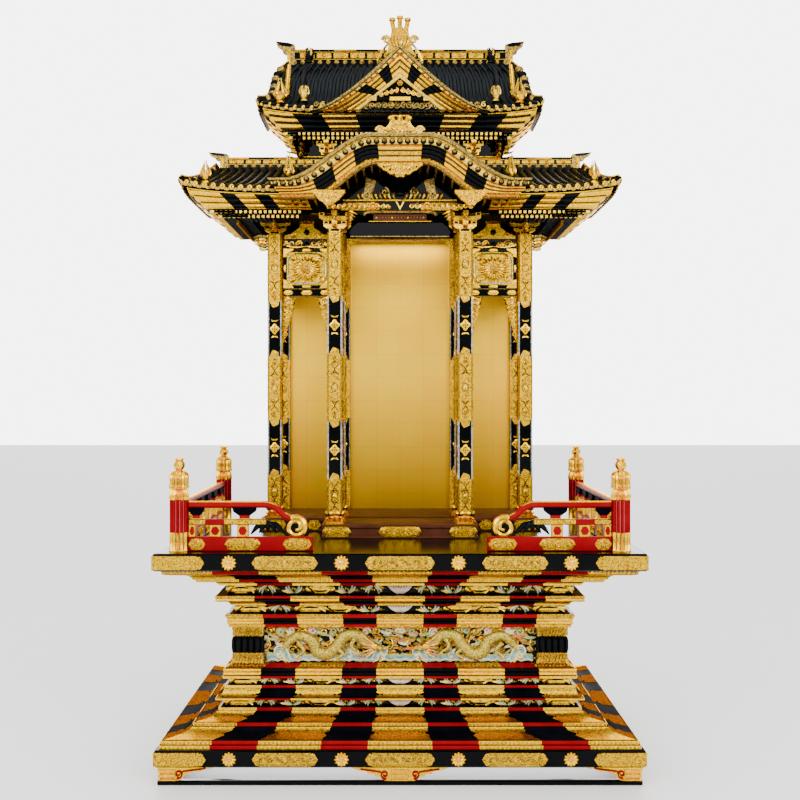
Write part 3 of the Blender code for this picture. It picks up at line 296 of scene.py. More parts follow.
# darker copy of the gold, used as painted shade on the end sides
PAINTED_SHADE_GOLD = gilding("painted_shade_gold", (0.10, 0.045, 0.004), (0.42, 0.22, 0.03), 200.0, 0.7, (0.45, 0.65))
PALE = gilding("pale_gold", (0.50, 0.29, 0.02), (1.0, 0.73, 0.11), 180.0, 0.5, (0.22, 0.45))
DULL = gilding("old_gold", (0.10, 0.06, 0.01), (0.50, 0.34, 0.08), 160.0, 0.4, (0.25, 0.45), 0.9)
# Silver-grey gilding for the panel rims, and for painted highlights on the arrises of columns and pilasters.
SILVER_AND_HIGHLIGHT = gilding("silver_and_painted_highlight", (0.26, 0.26, 0.25), (0.62, 0.61, 0.58), 90.0, 0.1, (0.2, 0.35))
LEAF = leaf_squares("leaf_squares")
GREEN = pigment("pale_green", (0.20, 0.28, 0.09), (0.62, 0.68, 0.28))
WHITE = pigment("shell_white", (0.60, 0.54, 0.30), (0.92, 0.88, 0.62))
BLUE = pigment("sea_blue", (0.06, 0.22, 0.32), (0.30, 0.54, 0.62))
ORANGE = pigment("flame_orange", (0.55, 0.08, 0.015), (0.85, 0.26, 0.05))
PINK = pigment("peony_pink", (0.80, 0.36, 0.30), (0.95, 0.80, 0.70))
SCALE = gilding("scale_gold", (0.15, 0.11, 0.01), (0.96, 0.70, 0.10), 260.0, 0.8, (0.3, 0.5), 0.8)
GROUND = carved_ground("carved_ground")


# Shapes: each returns its points and faces

def sheet(rows, closed=False):
    """Quads through a rectangular array of points; closed joins each row's end to its start."""
    rows = np.asarray(rows, float)
    m, n = rows.shape[:2]
    a = np.arange(m - 1)[:, None]
    b = np.arange(n if closed else n - 1)[None, :]
    a2 = a + 1
    b2 = (b + 1) % n
    quads = np.stack(np.broadcast_arrays(a * n + b, a * n + b2, a2 * n + b2, a2 * n + b), axis=-1)
    return rows.reshape(-1, 3), quads.reshape(-1, 4).tolist()


def capped(rows):
    """Closed body through rings of points."""
    points, faces = sheet(rows, closed=True)
    n = len(rows[0])
    last = len(points) - n
    return points, faces + [list(range(n))[::-1], list(range(last, last + n))]


def tube(path, radius, sides=6, squash=1.0, up=(0, 1, 0)):
    """Round or flattened stroke along a path; up is the direction that squash acts in."""
    path = np.asarray(path, float)
    radius = np.broadcast_to(np.asarray(radius, float), (len(path),))
    tangent = np.gradient(path, axis=0)
    up = np.asarray(up, float)
    side = np.cross(tangent, up)
    side /= np.maximum(np.linalg.norm(side, axis=1), 1e-9)[:, None]
    angle = np.arange(sides) * 2 * math.pi / sides
    ring = (np.cos(angle)[None, :, None] * side[:, None, :]
            + np.sin(angle)[None, :, None] * up[None, None, :] * squash) * radius[:, None, None]
    return capped(path[:, None, :] + ring)


def prism(loop, low, high):
    """Board with an (x, z) outline between two values of y, low being the front."""
    front = [(x, low, z) for x, z in loop]
    back = [(x, high, z) for x, z in loop]
    return capped([front, back])


def plate(loop, low, high, rim=0.8):
    """Fitting with a raised, slightly pillowed face, from its back at y=low to its face at y=high."""
    loop = np.asarray(loop, float)
    middle = loop.mean(axis=0)
    rows = []
    for share, level in ((1.0, 0.0), (1.0, 0.6), (0.5 + rim / 2, 1.0), (rim * 0.6, 1.0), (rim * 0.3, 1.15)):
        flat = middle + (loop - middle) * share
        y = low + (high - low) * level
        rows.append(np.column_stack([flat[:, 0], np.full(len(flat), y), flat[:, 1]]))
    return capped(rows)


def bar(low, high):
    """Plain box for hidden cores and very small members."""
    (a, b, c), (d, e, f) = low, high
    return capped([[(a, b, z), (d, b, z), (d, e, z), (a, e, z)] for z in (c, f)])


def block(low, high, bevel=0.0015):
    """Box with chamfered edges."""
    low = np.asarray(low, float)
    high = np.asarray(high, float)
    bevel = min(bevel, *((high - low) * 0.3))

    def ring(inset, z):
        a, b = low[:2] + inset, high[:2] - inset
        c = bevel
        return [(a[0] + c, a[1], z), (b[0] - c, a[1], z), (b[0], a[1] + c, z), (b[0], b[1] - c, z),
                (b[0] - c, b[1], z), (a[0] + c, b[1], z), (a[0], b[1] - c, z), (a[0], a[1] + c, z)]

    return capped([ring(bevel, low[2]), ring(0, low[2] + bevel), ring(0, high[2] - bevel),
                   ring(bevel, high[2])])


def lathe(profile, sides=24, flutes=0, depth=0.0):
    """Turned body about Z through (radius, z); flutes press in by depth."""
    angle = np.arange(sides) * 2 * math.pi / sides
    wave = 1 - depth * (0.5 - 0.5 * np.cos(angle * flutes)) if flutes else np.ones(sides)
    rows = [np.column_stack([r * wave * np.cos(angle), r * wave * np.sin(angle), np.full(sides, z)])
            for r, z in profile]
    return capped(rows)


def rosette(radius, petals, height):
    """Flower boss facing -Y, with rounded petals and a button."""
    angle = np.arange(petals * 6) * 2 * math.pi / (petals * 6)
    petal = np.abs(np.cos(angle * petals / 2))
    rows = []
    for share, level in ((1.0, 0.0), (1.0, 0.35), (0.82, 0.9), (0.6, 0.8), (0.36, 0.45), (0.34, 0.95),
                         (0.15, 1.2)):
        r = radius * share * (0.86 + 0.14 * petal if share > 0.4 else 1.0)
        y = -height * level * (0.6 + 0.4 * petal if share > 0.4 else 1.0)
        rows.append(np.column_stack([r * np.cos(angle), np.broadcast_to(y, angle.shape), r * np.sin(angle)]))
    return capped(rows)


def dome(radius, height, sides=6):
    """Small bead facing -Y."""
    angle = np.arange(sides) * 2 * math.pi / sides
    rows = [np.column_stack([radius * s * np.cos(angle), np.full(sides, -height * h),
                             radius * s * np.sin(angle)]) for s, h in ((1.0, 0.0), (0.8, 0.6), (0.35, 1.0))]
    return capped(rows)


def spiral(x, z, outer, inner, turns, start, points=26, y=0.0, power=0.8):
    """Path that winds inwards in the XZ plane; start is its first angle in degrees."""
    t = np.linspace(0, 1, points)
    angle = math.radians(start) + t * turns * 2 * math.pi
    r = outer + (inner - outer) * t ** power
    return np.column_stack([x + r * np.cos(angle), np.full(points, y), z + r * np.sin(angle)])


def curve(points, count=16):
    """Smooth path through a few points given as (x, y, z)."""
    p = np.asarray(points, float)
    p = np.vstack([2 * p[0] - p[1], p, 2 * p[-1] - p[-2]])
    out = []
    spans = len(p) - 3
    for t in np.linspace(0, spans, count):
        k = min(int(t), spans - 1)
        s = t - k
        a, b, c, d = p[k:k + 4]
        out.append(0.5 * (2 * b + (c - a) * s + (2 * a - 5 * b + 4 * c - d) * s * s
                          + (3 * b - a - 3 * c + d) * s ** 3))
    return np.array(out)


END_SHAPE = ((1.08, 1.0), (0.98, 0.82), (0.84, 0.92), (0.62, 0.90), (0.42, 0.72), (0.34, 0.50), (0.16, 0.30))


def cartouche(half_length, half_height):
    """Outline of a long fitting with shouldered, pointed ends, around the origin."""
    reach = min(half_height, half_length * 0.8)
    lower = [(half_length - a * reach, -b * half_height) for a, b in END_SHAPE]
    ends = lower + [(half_length, 0.0)] + [(x, -z) for x, z in reversed(lower)]
    return ends + [(-x, -z) for x, z in ends]


def shift(x=0.0, y=0.0, z=0.0):
    m = np.eye(4)
    m[:3, 3] = (x, y, z)
    return m


def turn(axis, degrees):
    c, s = math.cos(math.radians(degrees)), math.sin(math.radians(degrees))
    m = np.eye(4)
    i, j = {"X": (1, 2), "Y": (2, 0), "Z": (0, 1)}[axis]
    m[i, i] = m[j, j] = c
    m[i, j] = -s
    m[j, i] = s
    return m


def stretch(x=1.0, y=1.0, z=1.0):
    return np.diag([x, y, z, 1.0])


SMOOTH_ANGLE = 38


class Piece:
    """Gathers shapes with a finish each, and becomes one mesh that stands for CAD nodes."""

    def __init__(self, name, slot, nodes):
        self.name = name
        self.slot = slot
        self.nodes = nodes
        self.points = []
        self.total = 0
        self.faces = []
        self.marks = []
        self.finishes = []

    def put(self, shape, finish, place=None):
        points, faces = shape
        points = np.asarray(points, float)
        if place is not None:
            points = points @ place[:3, :3].T + place[:3, 3]
        if finish not in self.finishes:
            self.finishes.append(finish)
        mark = self.finishes.index(finish)
        self.points.append(points)
        self.faces.extend([[i + self.total for i in face] for face in faces])
        self.marks.extend([mark] * len(faces))
        self.total += len(points)

    def done(self):
        mesh = bpy.data.meshes.new(self.name)
        mesh.from_pydata(np.vstack(self.points), [], self.faces)
        for finish in self.finishes:
            mesh.materials.append(finish)
        mesh.polygons.foreach_set("material_index", self.marks)
        bm = bmesh.new()
        bm.from_mesh(mesh)
        bmesh.ops.recalc_face_normals(bm, faces=bm.faces)
        bm.to_mesh(mesh)
        bm.free()
        mesh.shade_smooth()
        mesh.set_sharp_from_angle(angle=math.radians(SMOOTH_ANGLE))
        obj = bpy.data.objects.new(self.name, mesh)
        bpy.context.scene.collection.objects.link(obj)
        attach(obj, "root")
        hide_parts(*self.nodes)


def coil(piece, winding, thick, finish, place=None, sides=5):
    """Coiled wire; winding holds the values that spiral takes."""
    piece.put(tube(spiral(*winding), thick, sides), finish, place)


# Dais mouldings

FRONT_GOLD = ((0.0, 0.134), (0.330, 0.593), (0.790, 1.0))
SIDE_GOLD = ((0.0, 0.20), (0.46, 0.70), (0.86, 1.0))
PLATE_LIFT = 0.0014
HOLLOW = ("cove", "under")
BASE_FINISH = {"flat": RED, "roll": BLACK, "cove": MATT, "under": MATT}

# members of each frame from its foot up: kind, inset, share of height, inset, share, gold, beads
FRAMES = {"lower_steps": (("flat", 0.02, 0.0, 0.02, 0.14, GOLD, True),
                          ("flat", 0.028, 0.15, 0.028, 0.29, GOLD, True),
                          ("cove", 0.035, 0.30, 0.12, 0.52, WARM, False),
                          ("flat", 0.128, 0.53, 0.128, 0.66, GOLD, True),
                          ("cove", 0.135, 0.66, 0.205, 0.87, WARM, False),
                          ("flat", 0.21, 0.88, 0.21, 1.0, GOLD, False)),
          "lower_lip": (("flat", 0.20, 0.0, 0.20, 0.13, GOLD, False),
                        ("cove", 0.203, 0.14, 0.228, 0.78, WARM, False),
                        ("flat", 0.23, 0.80, 0.23, 1.0, GOLD, False)),
          "lower_rolls": (("flat", 0.225, 0.0, 0.225, 0.17, GOLD, False),
                          ("roll", 0.232, 0.18, 0.232, 0.45, GOLD, False),
                          ("roll", 0.232, 0.46, 0.232, 0.73, GOLD, False),
                          ("flat", 0.236, 0.75, 0.262, 1.0, CHASED, True)),
          "upper_rolls": (("flat", 0.245, 0.0, 0.245, 0.22, CHASED, False),
                          ("roll", 0.243, 0.23, 0.243, 0.46, GOLD, False),
                          ("roll", 0.243, 0.47, 0.243, 0.70, GOLD, False),
                          ("flat", 0.235, 0.72, 0.235, 1.0, CHASED, True)),
          "upper_lip": (("flat", 0.25, 0.0, 0.25, 0.08, GOLD, False),
                        ("under", 0.25, 0.08, 0.205, 0.52, WARM, False),
                        ("roll", 0.203, 0.54, 0.203, 0.78, GOLD, False),
                        ("flat", 0.20, 0.80, 0.20, 1.0, CHASED, True)),
          "upper_steps": (("flat", 0.21, 0.0, 0.21, 0.09, GOLD, False),
                          ("under", 0.205, 0.10, 0.138, 0.30, WARM, False),
                          ("flat", 0.136, 0.31, 0.136, 0.42, GOLD, True),
                          ("under", 0.125, 0.43, 0.052, 0.76, WARM, False),
                          ("flat", 0.05, 0.77, 0.03, 0.83, GOLD, False),
                          ("flat", 0.03, 0.84, 0.03, 1.0, CHASED, True)), }


def side_place(k):
    return turn("Z", 90 * k)


def side_sizes(k):
    """Half length along a side and distance of its board edge from the middle."""
    return (HALF_X, HALF_Y) if k % 2 == 0 else (HALF_Y, HALF_X)


def bend(kind, a, b):
    """Points (inset, z) of one moulding member from a to b."""
    (i0, z0), (i1, z1) = a, b
    t = np.linspace(0, math.pi / 2, 7)
    if kind == "cove":
        return list(zip(i0 + (i1 - i0) * np.sin(t), z0 + (z1 - z0) * (1 - np.cos(t))))
    if kind == "under":
        return list(zip(i0 + (i1 - i0) * (1 - np.cos(t)), z0 + (z1 - z0) * np.sin(t)))
    if kind == "roll":
        t = np.linspace(0, math.pi, 9)
        return list(zip(i0 - (z1 - z0) * 0.42 * np.sin(t), z0 + (z1 - z0) * (1 - np.cos(t)) / 2))
    return [a, b]


def gold_strip(member, k, start, end, kind):
    """Gold plate over a member of side k between two shares of its half length."""
    length, reach = side_sizes(k)
    member = np.asarray(member, float)
    run = np.gradient(member, axis=0)
    normal = np.column_stack([run[:, 1], run[:, 0]])
    normal /= np.maximum(np.linalg.norm(normal, axis=1), 1e-9)[:, None]
    rows = []
    for (inset, z), (out, rise), v in zip(member, normal, np.linspace(0, 1, len(member))):
        half = length - inset
        cut = 0.0
        if kind in HOLLOW:
            cut = 0.015 * max(0.0, 1 - abs(v - 0.5) / 0.17) + 0.004 * abs(math.sin(3 * math.pi * v))
        left = start * half + (cut if abs(start) < 1 else 0)
        right = end * half - (cut if abs(end) < 1 else 0)
        y = -(reach - inset)
        top_y = y - out * PLATE_LIFT
        top_z = z + rise * PLATE_LIFT
        rows.append([(left, y + 0.001, z), (left, top_y, top_z), (right, top_y, top_z),
                     (right, y + 0.001, z)])
    return capped(rows)


def cusps(piece, member, k, left, right):
    """Small black eyelets beyond the points of a gold cell."""
    length, reach = side_sizes(k)
    inset, z = member[len(member) // 2]
    eyelet = lathe(((0.0005, -0.0050), (0.0046, 0.0), (0.0005, 0.0050)), 6)
    for share, sign in ((left, 1), (right, -1)):
        if abs(share) < 1:
            x = share * (length - inset) + sign * 0.024
            piece.put(eyelet, BLACK, side_place(k) @ shift(x, -(reach - inset) - 0.002, z))


def moulding(piece, members, z_low, z_high):
    """Frame round the dais from z_low to z_high."""
    height = z_high - z_low
    chain = []
    finishes = []
    for kind, i0, s0, i1, s1, gold, beaded in members:
        member = bend(kind, (i0, z_low + s0 * height), (i1, z_low + s1 * height))
        if chain:
            finishes.append(MATT)
        finishes += [BASE_FINISH[kind]] * (len(member) - 1)
        chain += member
        for k in range(4):
            for start, end in (FRONT_GOLD if k % 2 == 0 else SIDE_GOLD):
                spans = [(-end, end)] if start == 0 else [(start, end), (-end, -start)]
                for left, right in spans:
                    # On the end sides the cove gold takes the darker copy, as painted shade.
                    shade = PAINTED_SHADE_GOLD if k % 2 and gold is WARM else gold
                    piece.put(gold_strip(member, k, left, right, kind), shade, side_place(k))
                    if kind in HOLLOW:
                        cusps(piece, member, k, left, right)
                    if beaded:
                        bead_row(piece, k, left, right, (i0 + i1) / 2, z_low + (s0 + s1) / 2 * height,
                                 abs(s1 - s0) * height)
    rings = [[(-(HALF_X - i), -(HALF_Y - i), z), (HALF_X - i, -(HALF_Y - i), z), (HALF_X - i, HALF_Y - i, z),
              (-(HALF_X - i), HALF_Y - i, z)] for i, z in chain]
    points, faces = capped(rings)
    spans = [face for face in faces if len(face) == 4]
    count = len(rings) - 1
    for span in range(count):
        piece.put((points, spans[4 * span:4 * span + 4]), finishes[span])
    piece.put((points, faces[-2:]), BLACK)


def bead_row(piece, k, left, right, inset, z, height):
    length, reach = side_sizes(k)
    half = length - inset
    radius = height * 0.36
    count = max(2, int((right - left) * half / (height * 1.05)))
    bead = dome(radius, radius * 0.9)
    for i in range(count):
        x = (left + (right - left) * (i + 0.5) / count) * half
        piece.put(bead, PALE, side_place(k) @ shift(x, -(reach - inset) - 0.0012, z))


def dais_mouldings():
    piece = Piece("dais_mouldings", "black_lacquer", list(FRAMES))
    for node, members in FRAMES.items():
        low, high = corners(node)
        moulding(piece, members, low[2], high[2])
    piece.done()


def in_gold(k, x, half):
    share = abs(x) / half
    return any(start <= share <= end for start, end in (FRONT_GOLD if k % 2 == 0 else SIDE_GOLD))


def scroll_unit(height, width, flip):
    """Strokes of one openwork scroll: (path, radius, squash, is_leaf)."""
    h = height / 2
    w = width / 2
    s = -1 if flip else 1
    strokes = [(spiral(0, 0.10 * h * s, 0.44 * h, 0.08 * h, 1.2, 90, 14), 0.0026, 1.0, False)]
    for side in SIGNS:
        for k in range(4):
            root = (side * (0.06 + 0.12 * k) * w, 0, -0.80 * h * s)
            belly = (side * (0.34 + 0.18 * k) * w, -0.003, (0.05 - 0.10 * k) * h * s)
            tip = (side * (0.42 + 0.19 * k) * w, 0, (0.92 - 0.34 * k) * h * s)
            strokes.append((curve([root, belly, tip], 9), 0.0038 - 0.0003 * k, 0.8, True))
    return strokes


def gilded_unit(piece, place, height, width, flip):
    """Gilded scroll with a dark crescent cut through it."""
    h = height / 2
    s = -1 if flip else 1
    lens = [(width * 0.56 * math.cos(a), h * math.sin(a) * (0.96 - 0.10 * math.cos(4 * a))) for a in
            np.linspace(0, 2 * math.pi, 29)[:-1]]
    piece.put(plate(lens, 0.002, -0.0025, 0.8), GOLD, place)
    arc = [(0.30 * width * math.cos(a), -0.0034, s * (0.50 * h * math.sin(a) - 0.10 * h))
           for a in np.linspace(0.5, 2.64, 9)]
    piece.put(tube(arc, 0.0038 * np.sin(np.linspace(0.25, 2.9, 9)), 6, 0.5), BLACK, place)
    for side in SIGNS:
        leaf = curve([(side * 0.50 * width, -0.003, -0.7 * h * s), (side * 0.34 * width, -0.005, 0.1 * h * s),
                      (side * 0.20 * width, -0.003, 0.85 * h * s)], 8)
        piece.put(tube(leaf, 0.0034, 5, 1.4), PALE if side > 0 else GOLD, place)
    coil(piece, (0, -0.28 * h * s, 0.34 * h, 0.05 * h, 1.2 * s, 90, 12, -0.0045), 0.0022, PALE, place)


def carved_strips():
    piece = Piece("carved_strips", "painted_carving",
                  ["lower_carved_strip", "lower_shadow_strip", "flower_strip", "upper_carved_strip"])
    pitch = 0.103
    for node in piece.nodes:
        low, high = corners(node)
        z = (low[2] + high[2]) / 2
        height = high[2] - low[2]
        inset = HALF_X - high[0]
        x = HALF_X - inset - 0.012
        y = HALF_Y - inset - 0.012
        piece.put(block((-x, -y, low[2]), (x, y, high[2])), BLACK)
        for k in range(4):
            length, reach = side_sizes(k)
            half = length - inset - 0.012
            count = 2 * int((half - pitch * 0.35) / pitch)
            step = 2 * half / (count + 1)
            for i in range(count + 1):
                along = -half + step * (i + 0.5)
                place = side_place(k) @ shift(along, -(reach - inset - 0.010), z)
                if i == count // 2:
                    peony(piece, place, height)
                    continue
                gold = in_gold(k, along, half)
                if gold:
                    gilded_unit(piece, place, height * 0.94, step, i % 2)
                    continue
                for j, (path, radius, squash, leaf) in enumerate(scroll_unit(height * 0.94, step * 0.98,
                                                                             i % 2)):
                    finish = (PALE, GREEN, WHITE, PALE)[j % 4] if leaf else GOLD
                    taper = radius * (0.55 + 0.45 * np.sin(np.linspace(0.25, 2.9, len(path))))
                    piece.put(tube(path, taper * 1.15, 5, squash * 1.7), finish, place)
    piece.done()


def peony(piece, place, height):
    """Striped flower between two leaf fans."""
    for i in range(9):
        lean = (i - 4) / 4
        path = curve([(lean * 0.010, 0, -0.42 * height), (lean * 0.030, -0.004, 0.0),
                      (lean * 0.048, 0, 0.42 * height)], 7)
        piece.put(tube(path, 0.0044 * np.array([0.5, 0.9, 1.1, 1.2, 1.1, 0.9, 0.5]), 5, 1.6),
                  WHITE if i % 2 else PINK, place)


# Waist

WAIST_INSET = 0.28


POST_RIBS = 5
NECK = (0.28, 0.72)


def post_ring(middle, half, wide, level, z):
    """Ring of a square post: plain ribs on its black neck, slanting ones on its gold ends."""
    black = NECK[0] < level < NECK[1]
    ring = []
    for k in range(4):
        for i in range(POST_RIBS * 8):
            u = 2 * i / (POST_RIBS * 8) - 1
            phase = u * POST_RIBS * math.pi + (0 if black else level * 14)
            rib = abs(math.sin(phase / 2 * (1 if black else 2)))
            edge = 1 - abs(u) ** 8
            out = half * wide - (0.009 if black else 0.0065) * (1 - rib) * edge
            x, y = u * half * wide, -out
            c, s = (1, 0, -1, 0)[k], (0, 1, 0, -1)[k]
            ring.append((middle[0] + x * c - y * s, middle[1] + x * s + y * c, z))
    return ring


def corner_posts():
    piece = Piece("corner_posts", "gold_leaf",
                  named("corner_post_{}_{}", ("front", "back")))
    half_swell = ((1.0, 0.0), (0.98, 0.05), (0.95, 0.11), (0.93, 0.17), (0.92, 0.23), (0.90, 0.27),
                  (0.96, 0.30), (0.99, 0.37))
    swell = half_swell + ((1.0, 0.5),) + tuple((wide, 1 - level) for wide, level in reversed(half_swell))
    for node in piece.nodes:
        low, high = corners(node)
        middle = (low + high) / 2
        half = (high[0] - low[0]) / 2
        height = high[2] - low[2]
        rows = [post_ring(middle, half, wide, level, low[2] + level * height) for wide, level in swell]
        points, faces = capped(rows)
        per_row = len(rows[0])
        for i in range(len(rows) - 1):
            level = (swell[i][1] + swell[i + 1][1]) / 2
            finish = BLACK if 0.275 < level < 0.725 else CHASED
            piece.put((points, faces[i * per_row:(i + 1) * per_row]), finish)
        piece.put((points, faces[-2:]), GOLD)
        for k in range(4):
            face = shift(middle[0], middle[1], low[2]) @ turn("Z", 90 * k)
            for a, b in ((0.03, 0.25), (0.75, 0.97)):
                for i in range(10):
                    x = half * (-0.94 + 1.70 * i / 9)
                    y = -half * 0.95
                    cut = [(x, y, a * height), (x + half * 0.06, y, (a + b) / 2 * height),
                           (x + half * 0.12, y, b * height)]
                    piece.put(tube(cut, 0.0016, 5), DULL, face)
    piece.done()


def dragon_legs(piece, place):
    for base, knee, foot in (((-0.40, -0.012, 0.08), (-0.375, -0.02, 0.05), (-0.40, -0.02, 0.028)),
                             ((-0.25, -0.012, 0.06), (-0.222, -0.02, 0.036), (-0.25, -0.022, 0.018)),
                             ((-0.175, -0.012, 0.1), (-0.19, -0.022, 0.066), (-0.16, -0.024, 0.045))):
        piece.put(tube(curve([base, knee, foot], 10), np.linspace(0.010, 0.0045, 10), 8), SCALE, place)
        for spread in (-1, 0, 1):
            claw = curve([foot, (foot[0] + 0.008 * spread, foot[1] - 0.003, foot[2] - 0.008),
                          (foot[0] + 0.013 * spread, foot[1], foot[2] - 0.014)], 6)
            piece.put(tube(claw, np.linspace(0.0026, 0.0006, 6), 5), GOLD, place)


def dragon_head(piece, place, head):
    for dx, dz, wide in ((0.0, 0.004, 0.017), (0.022, -0.002, 0.013), (0.040, -0.004, 0.009)):
        ball = [np.column_stack([head[0] + dx + wide * math.cos(a) * np.ones(10),
                                 head[1] - 0.008 + wide * 0.8 * math.sin(a) * np.cos(np.arange(10) * 0.6283),
                                 head[2] + dz + wide * math.sin(a) * np.sin(np.arange(10) * 0.6283)])
                for a in np.linspace(0, math.pi, 7)]
        piece.put(capped(ball), SCALE if dx else GOLD, place)
    for k in range(7):
        lift = (k - 3) * 0.012
        mane = curve([head + (0, -0.012, lift * 0.4), head + (-0.03, -0.016, lift),
                      head + (-0.052, -0.010, lift * 1.6)], 8)
        piece.put(tube(mane, np.linspace(0.0045, 0.0008, 8), 5), ORANGE if k % 2 else PALE, place)
    for k in SIGNS:
        whisker = curve([head + (0.045, -0.014, 0.002 * k), head + (0.062, -0.018, 0.016 * k),
                         head + (0.05, -0.016, 0.032 * k)], 9)
        piece.put(tube(whisker, 0.0012, 5), GOLD, place)


def dragon(piece, place):
    """One coiling dragon: scaled body, spines, legs, head and mane, drawn for the left half."""
    path = curve([(-0.47, 0, 0.035), (-0.44, -0.004, 0.075), (-0.395, -0.006, 0.105),
                  (-0.345, -0.006, 0.085), (-0.325, -0.004, 0.045), (-0.285, -0.004, 0.034),
                  (-0.245, -0.008, 0.066), (-0.215, -0.01, 0.105), (-0.165, -0.008, 0.108),
                  (-0.13, -0.006, 0.075), (-0.10, -0.012, 0.062)], 120)
    t = np.linspace(0, 1, len(path))
    radius = 0.023 * (0.35 + 0.65 * np.sin(np.clip(t * 3.0 + 0.15, 0, math.pi / 2)) * (1 - 0.35 * t ** 3))
    sides = 20
    tangent = np.gradient(path, axis=0)
    up = np.array([0, 1.0, 0])
    side = np.cross(tangent, up)
    side /= np.linalg.norm(side, axis=1)[:, None]
    angle = np.arange(sides) * 2 * math.pi / sides
    rows = []
    for i in range(len(path)):
        scale = (i + 1.5 * (np.arange(sides) // 2 % 2)) % 3 / 3
        r = radius[i] * (1 + 0.17 * scale)
        rows.append(path[i] + (np.cos(angle) * r)[:, None] * side[i] + (np.sin(angle) * r * 0.8)[:,
                                                                                                 None] * up)
    piece.put(capped(rows), SCALE, place)
    for i in range(8, len(path) - 6, 5):
        root = path[i] + side[i] * radius[i] * 0.9
        tip = root + side[i] * 0.008 + tangent[i] * 1.5
        piece.put(tube([root, (root + tip) / 2, tip], [0.0035, 0.0028, 0.0006], 5), GOLD, place)
    dragon_legs(piece, place)
    dragon_head(piece, place, path[-1])


def wave_curl(piece, place, x, z, size, mirror=False):
    """Breaking wave drawn by nested strokes of white, blue, green and gold."""
    s = -1 if mirror else 1
    for i, finish in enumerate((WHITE, BLUE, GREEN, WHITE, GOLD)):
        r = size * (1 - 0.17 * i)
        body = curve([(x - s * 1.9 * r, 0, z - 0.05 * i * size), (x - s * 1.1 * r, -0.004, z + 0.1 * r),
                      (x - s * 0.75 * r, -0.006, z + 0.75 * r)], 10)
        curl = spiral(x, z + 0.75 * r, 0.75 * r, 0.12 * r, -1.1 * s, 180 if s > 0 else 0, 18, -0.006)
        piece.put(tube(np.vstack([body[:-1], curl]), 0.085 * size, 5, 1.5), finish, place)


def relief_ground(piece, place, half, height):
    """Rolling carved ground between the figures."""
    columns = int(half * 400)
    x = np.linspace(-half, half, columns)[:, None]
    z = np.linspace(0, height, 34)[None, :]
    swell = np.sin(62 * x + 3.0 * np.sin(55 * z)) * np.cos(95 * z + 3.5 * np.sin(38 * x))
    fine = np.sin(170 * x + 5 * np.cos(120 * z)) * np.sin(190 * z + 4 * np.sin(90 * x))
    y = 0.004 - 0.005 * swell - 0.002 * fine
    rows = np.stack(np.broadcast_arrays(x, y, z), axis=-1)
    piece.put(sheet(rows), GROUND, place)


def relief_leaves(piece, place, half, height, count):
    """Overlapping wisps of cloud, water and flame spread evenly over a relief."""
    for i in range(count):
        x = -half + 2 * half * ((i * 0.618034) % 1.0)
        z = height * (0.08 + 0.84 * ((i * 0.754878) % 1.0))
        lean = math.sin(i * 2.4)
        reach = 0.018 + 0.008 * math.cos(i * 1.7)
        path = curve([(x - reach, 0.003, z - 0.010 * lean), (x, -0.005, z + 0.006 * lean),
                      (x + reach, 0.001, z + 0.016 * lean)], 8)
        swell = 0.0056 * np.sin(np.linspace(0.25, 2.95, 8))
        piece.put(tube(path, swell, 5, 1.2), (SCALE, GREEN, GOLD, WHITE, SCALE, PALE, GOLD, WHITE, SCALE,
                                              ORANGE, GOLD)[i % 11], place)


def dragon_front(piece):
    """Two dragons over waves, under clouds, mirrored about the middle."""
    low, high = corners("dragon_panel_front")
    face = -(HALF_Y - WAIST_INSET)
    height = high[2] - low[2]
    half = high[0]
    piece.put(block((-half, face + 0.004, low[2]), (half, high[1], high[2])), BLACK)
    front = shift(0, face, low[2])
    relief_ground(piece, front, half, height)
    relief_leaves(piece, front @ shift(0, -0.003), half - 0.02, height, 190)
    for sign in (1, -1):
        place = stretch(sign) @ shift(0, face - 0.006, low[2])
        dragon(piece, place)
        for x, size, mirror in ((-0.472, 0.044, True), (-0.30, 0.026, False), (-0.20, 0.024, False),
                                (-0.068, 0.042, False), (-0.385, 0.022, False)):
            wave_curl(piece, place, x, 0.008, size, mirror)
        for i in range(13):
            x = -0.51 + i * 0.042
            cloud = spiral(x, height - 0.018 - 0.005 * (i % 2), 0.017, 0.003, 1.4, 90 * (i % 3), 18)
            piece.put(tube(cloud, 0.0040, 5, 1.6), (PALE, GREEN, WHITE, GOLD, PINK)[i % 5], place)
            link = curve([(x - 0.012, 0, height - 0.008), (x + 0.012, -0.004, height - 0.004),
                          (x + 0.036, 0, height - 0.012)], 8)
            piece.put(tube(link, 0.0036, 5, 1.6), (GOLD, PALE, ORANGE)[i % 3], place)
        for i in range(14):
            x = -0.52 + i * 0.040
            for k, finish in enumerate((WHITE, BLUE, GREEN)):
                ripple = curve([(x, 0, 0.006 + 0.009 * k), (x + 0.02, -0.005 + 0.001 * k, 0.013 + 0.009 * k),
                                (x + 0.046, 0, 0.006 + 0.009 * k)], 7)
                piece.put(tube(ripple, 0.0042, 5, 1.5), finish, place)
            flame_lick = curve([(x, 0, 0.05 + 0.03 * (i % 2)), (x + 0.012, -0.004, 0.07 + 0.02 * (i % 2)),
                                (x + 0.004, 0, 0.095)], 7)
            piece.put(tube(flame_lick, np.linspace(0.005, 0.001, 7), 5, 1.2), (GOLD, ORANGE, GREEN)[i % 3],
                      place)


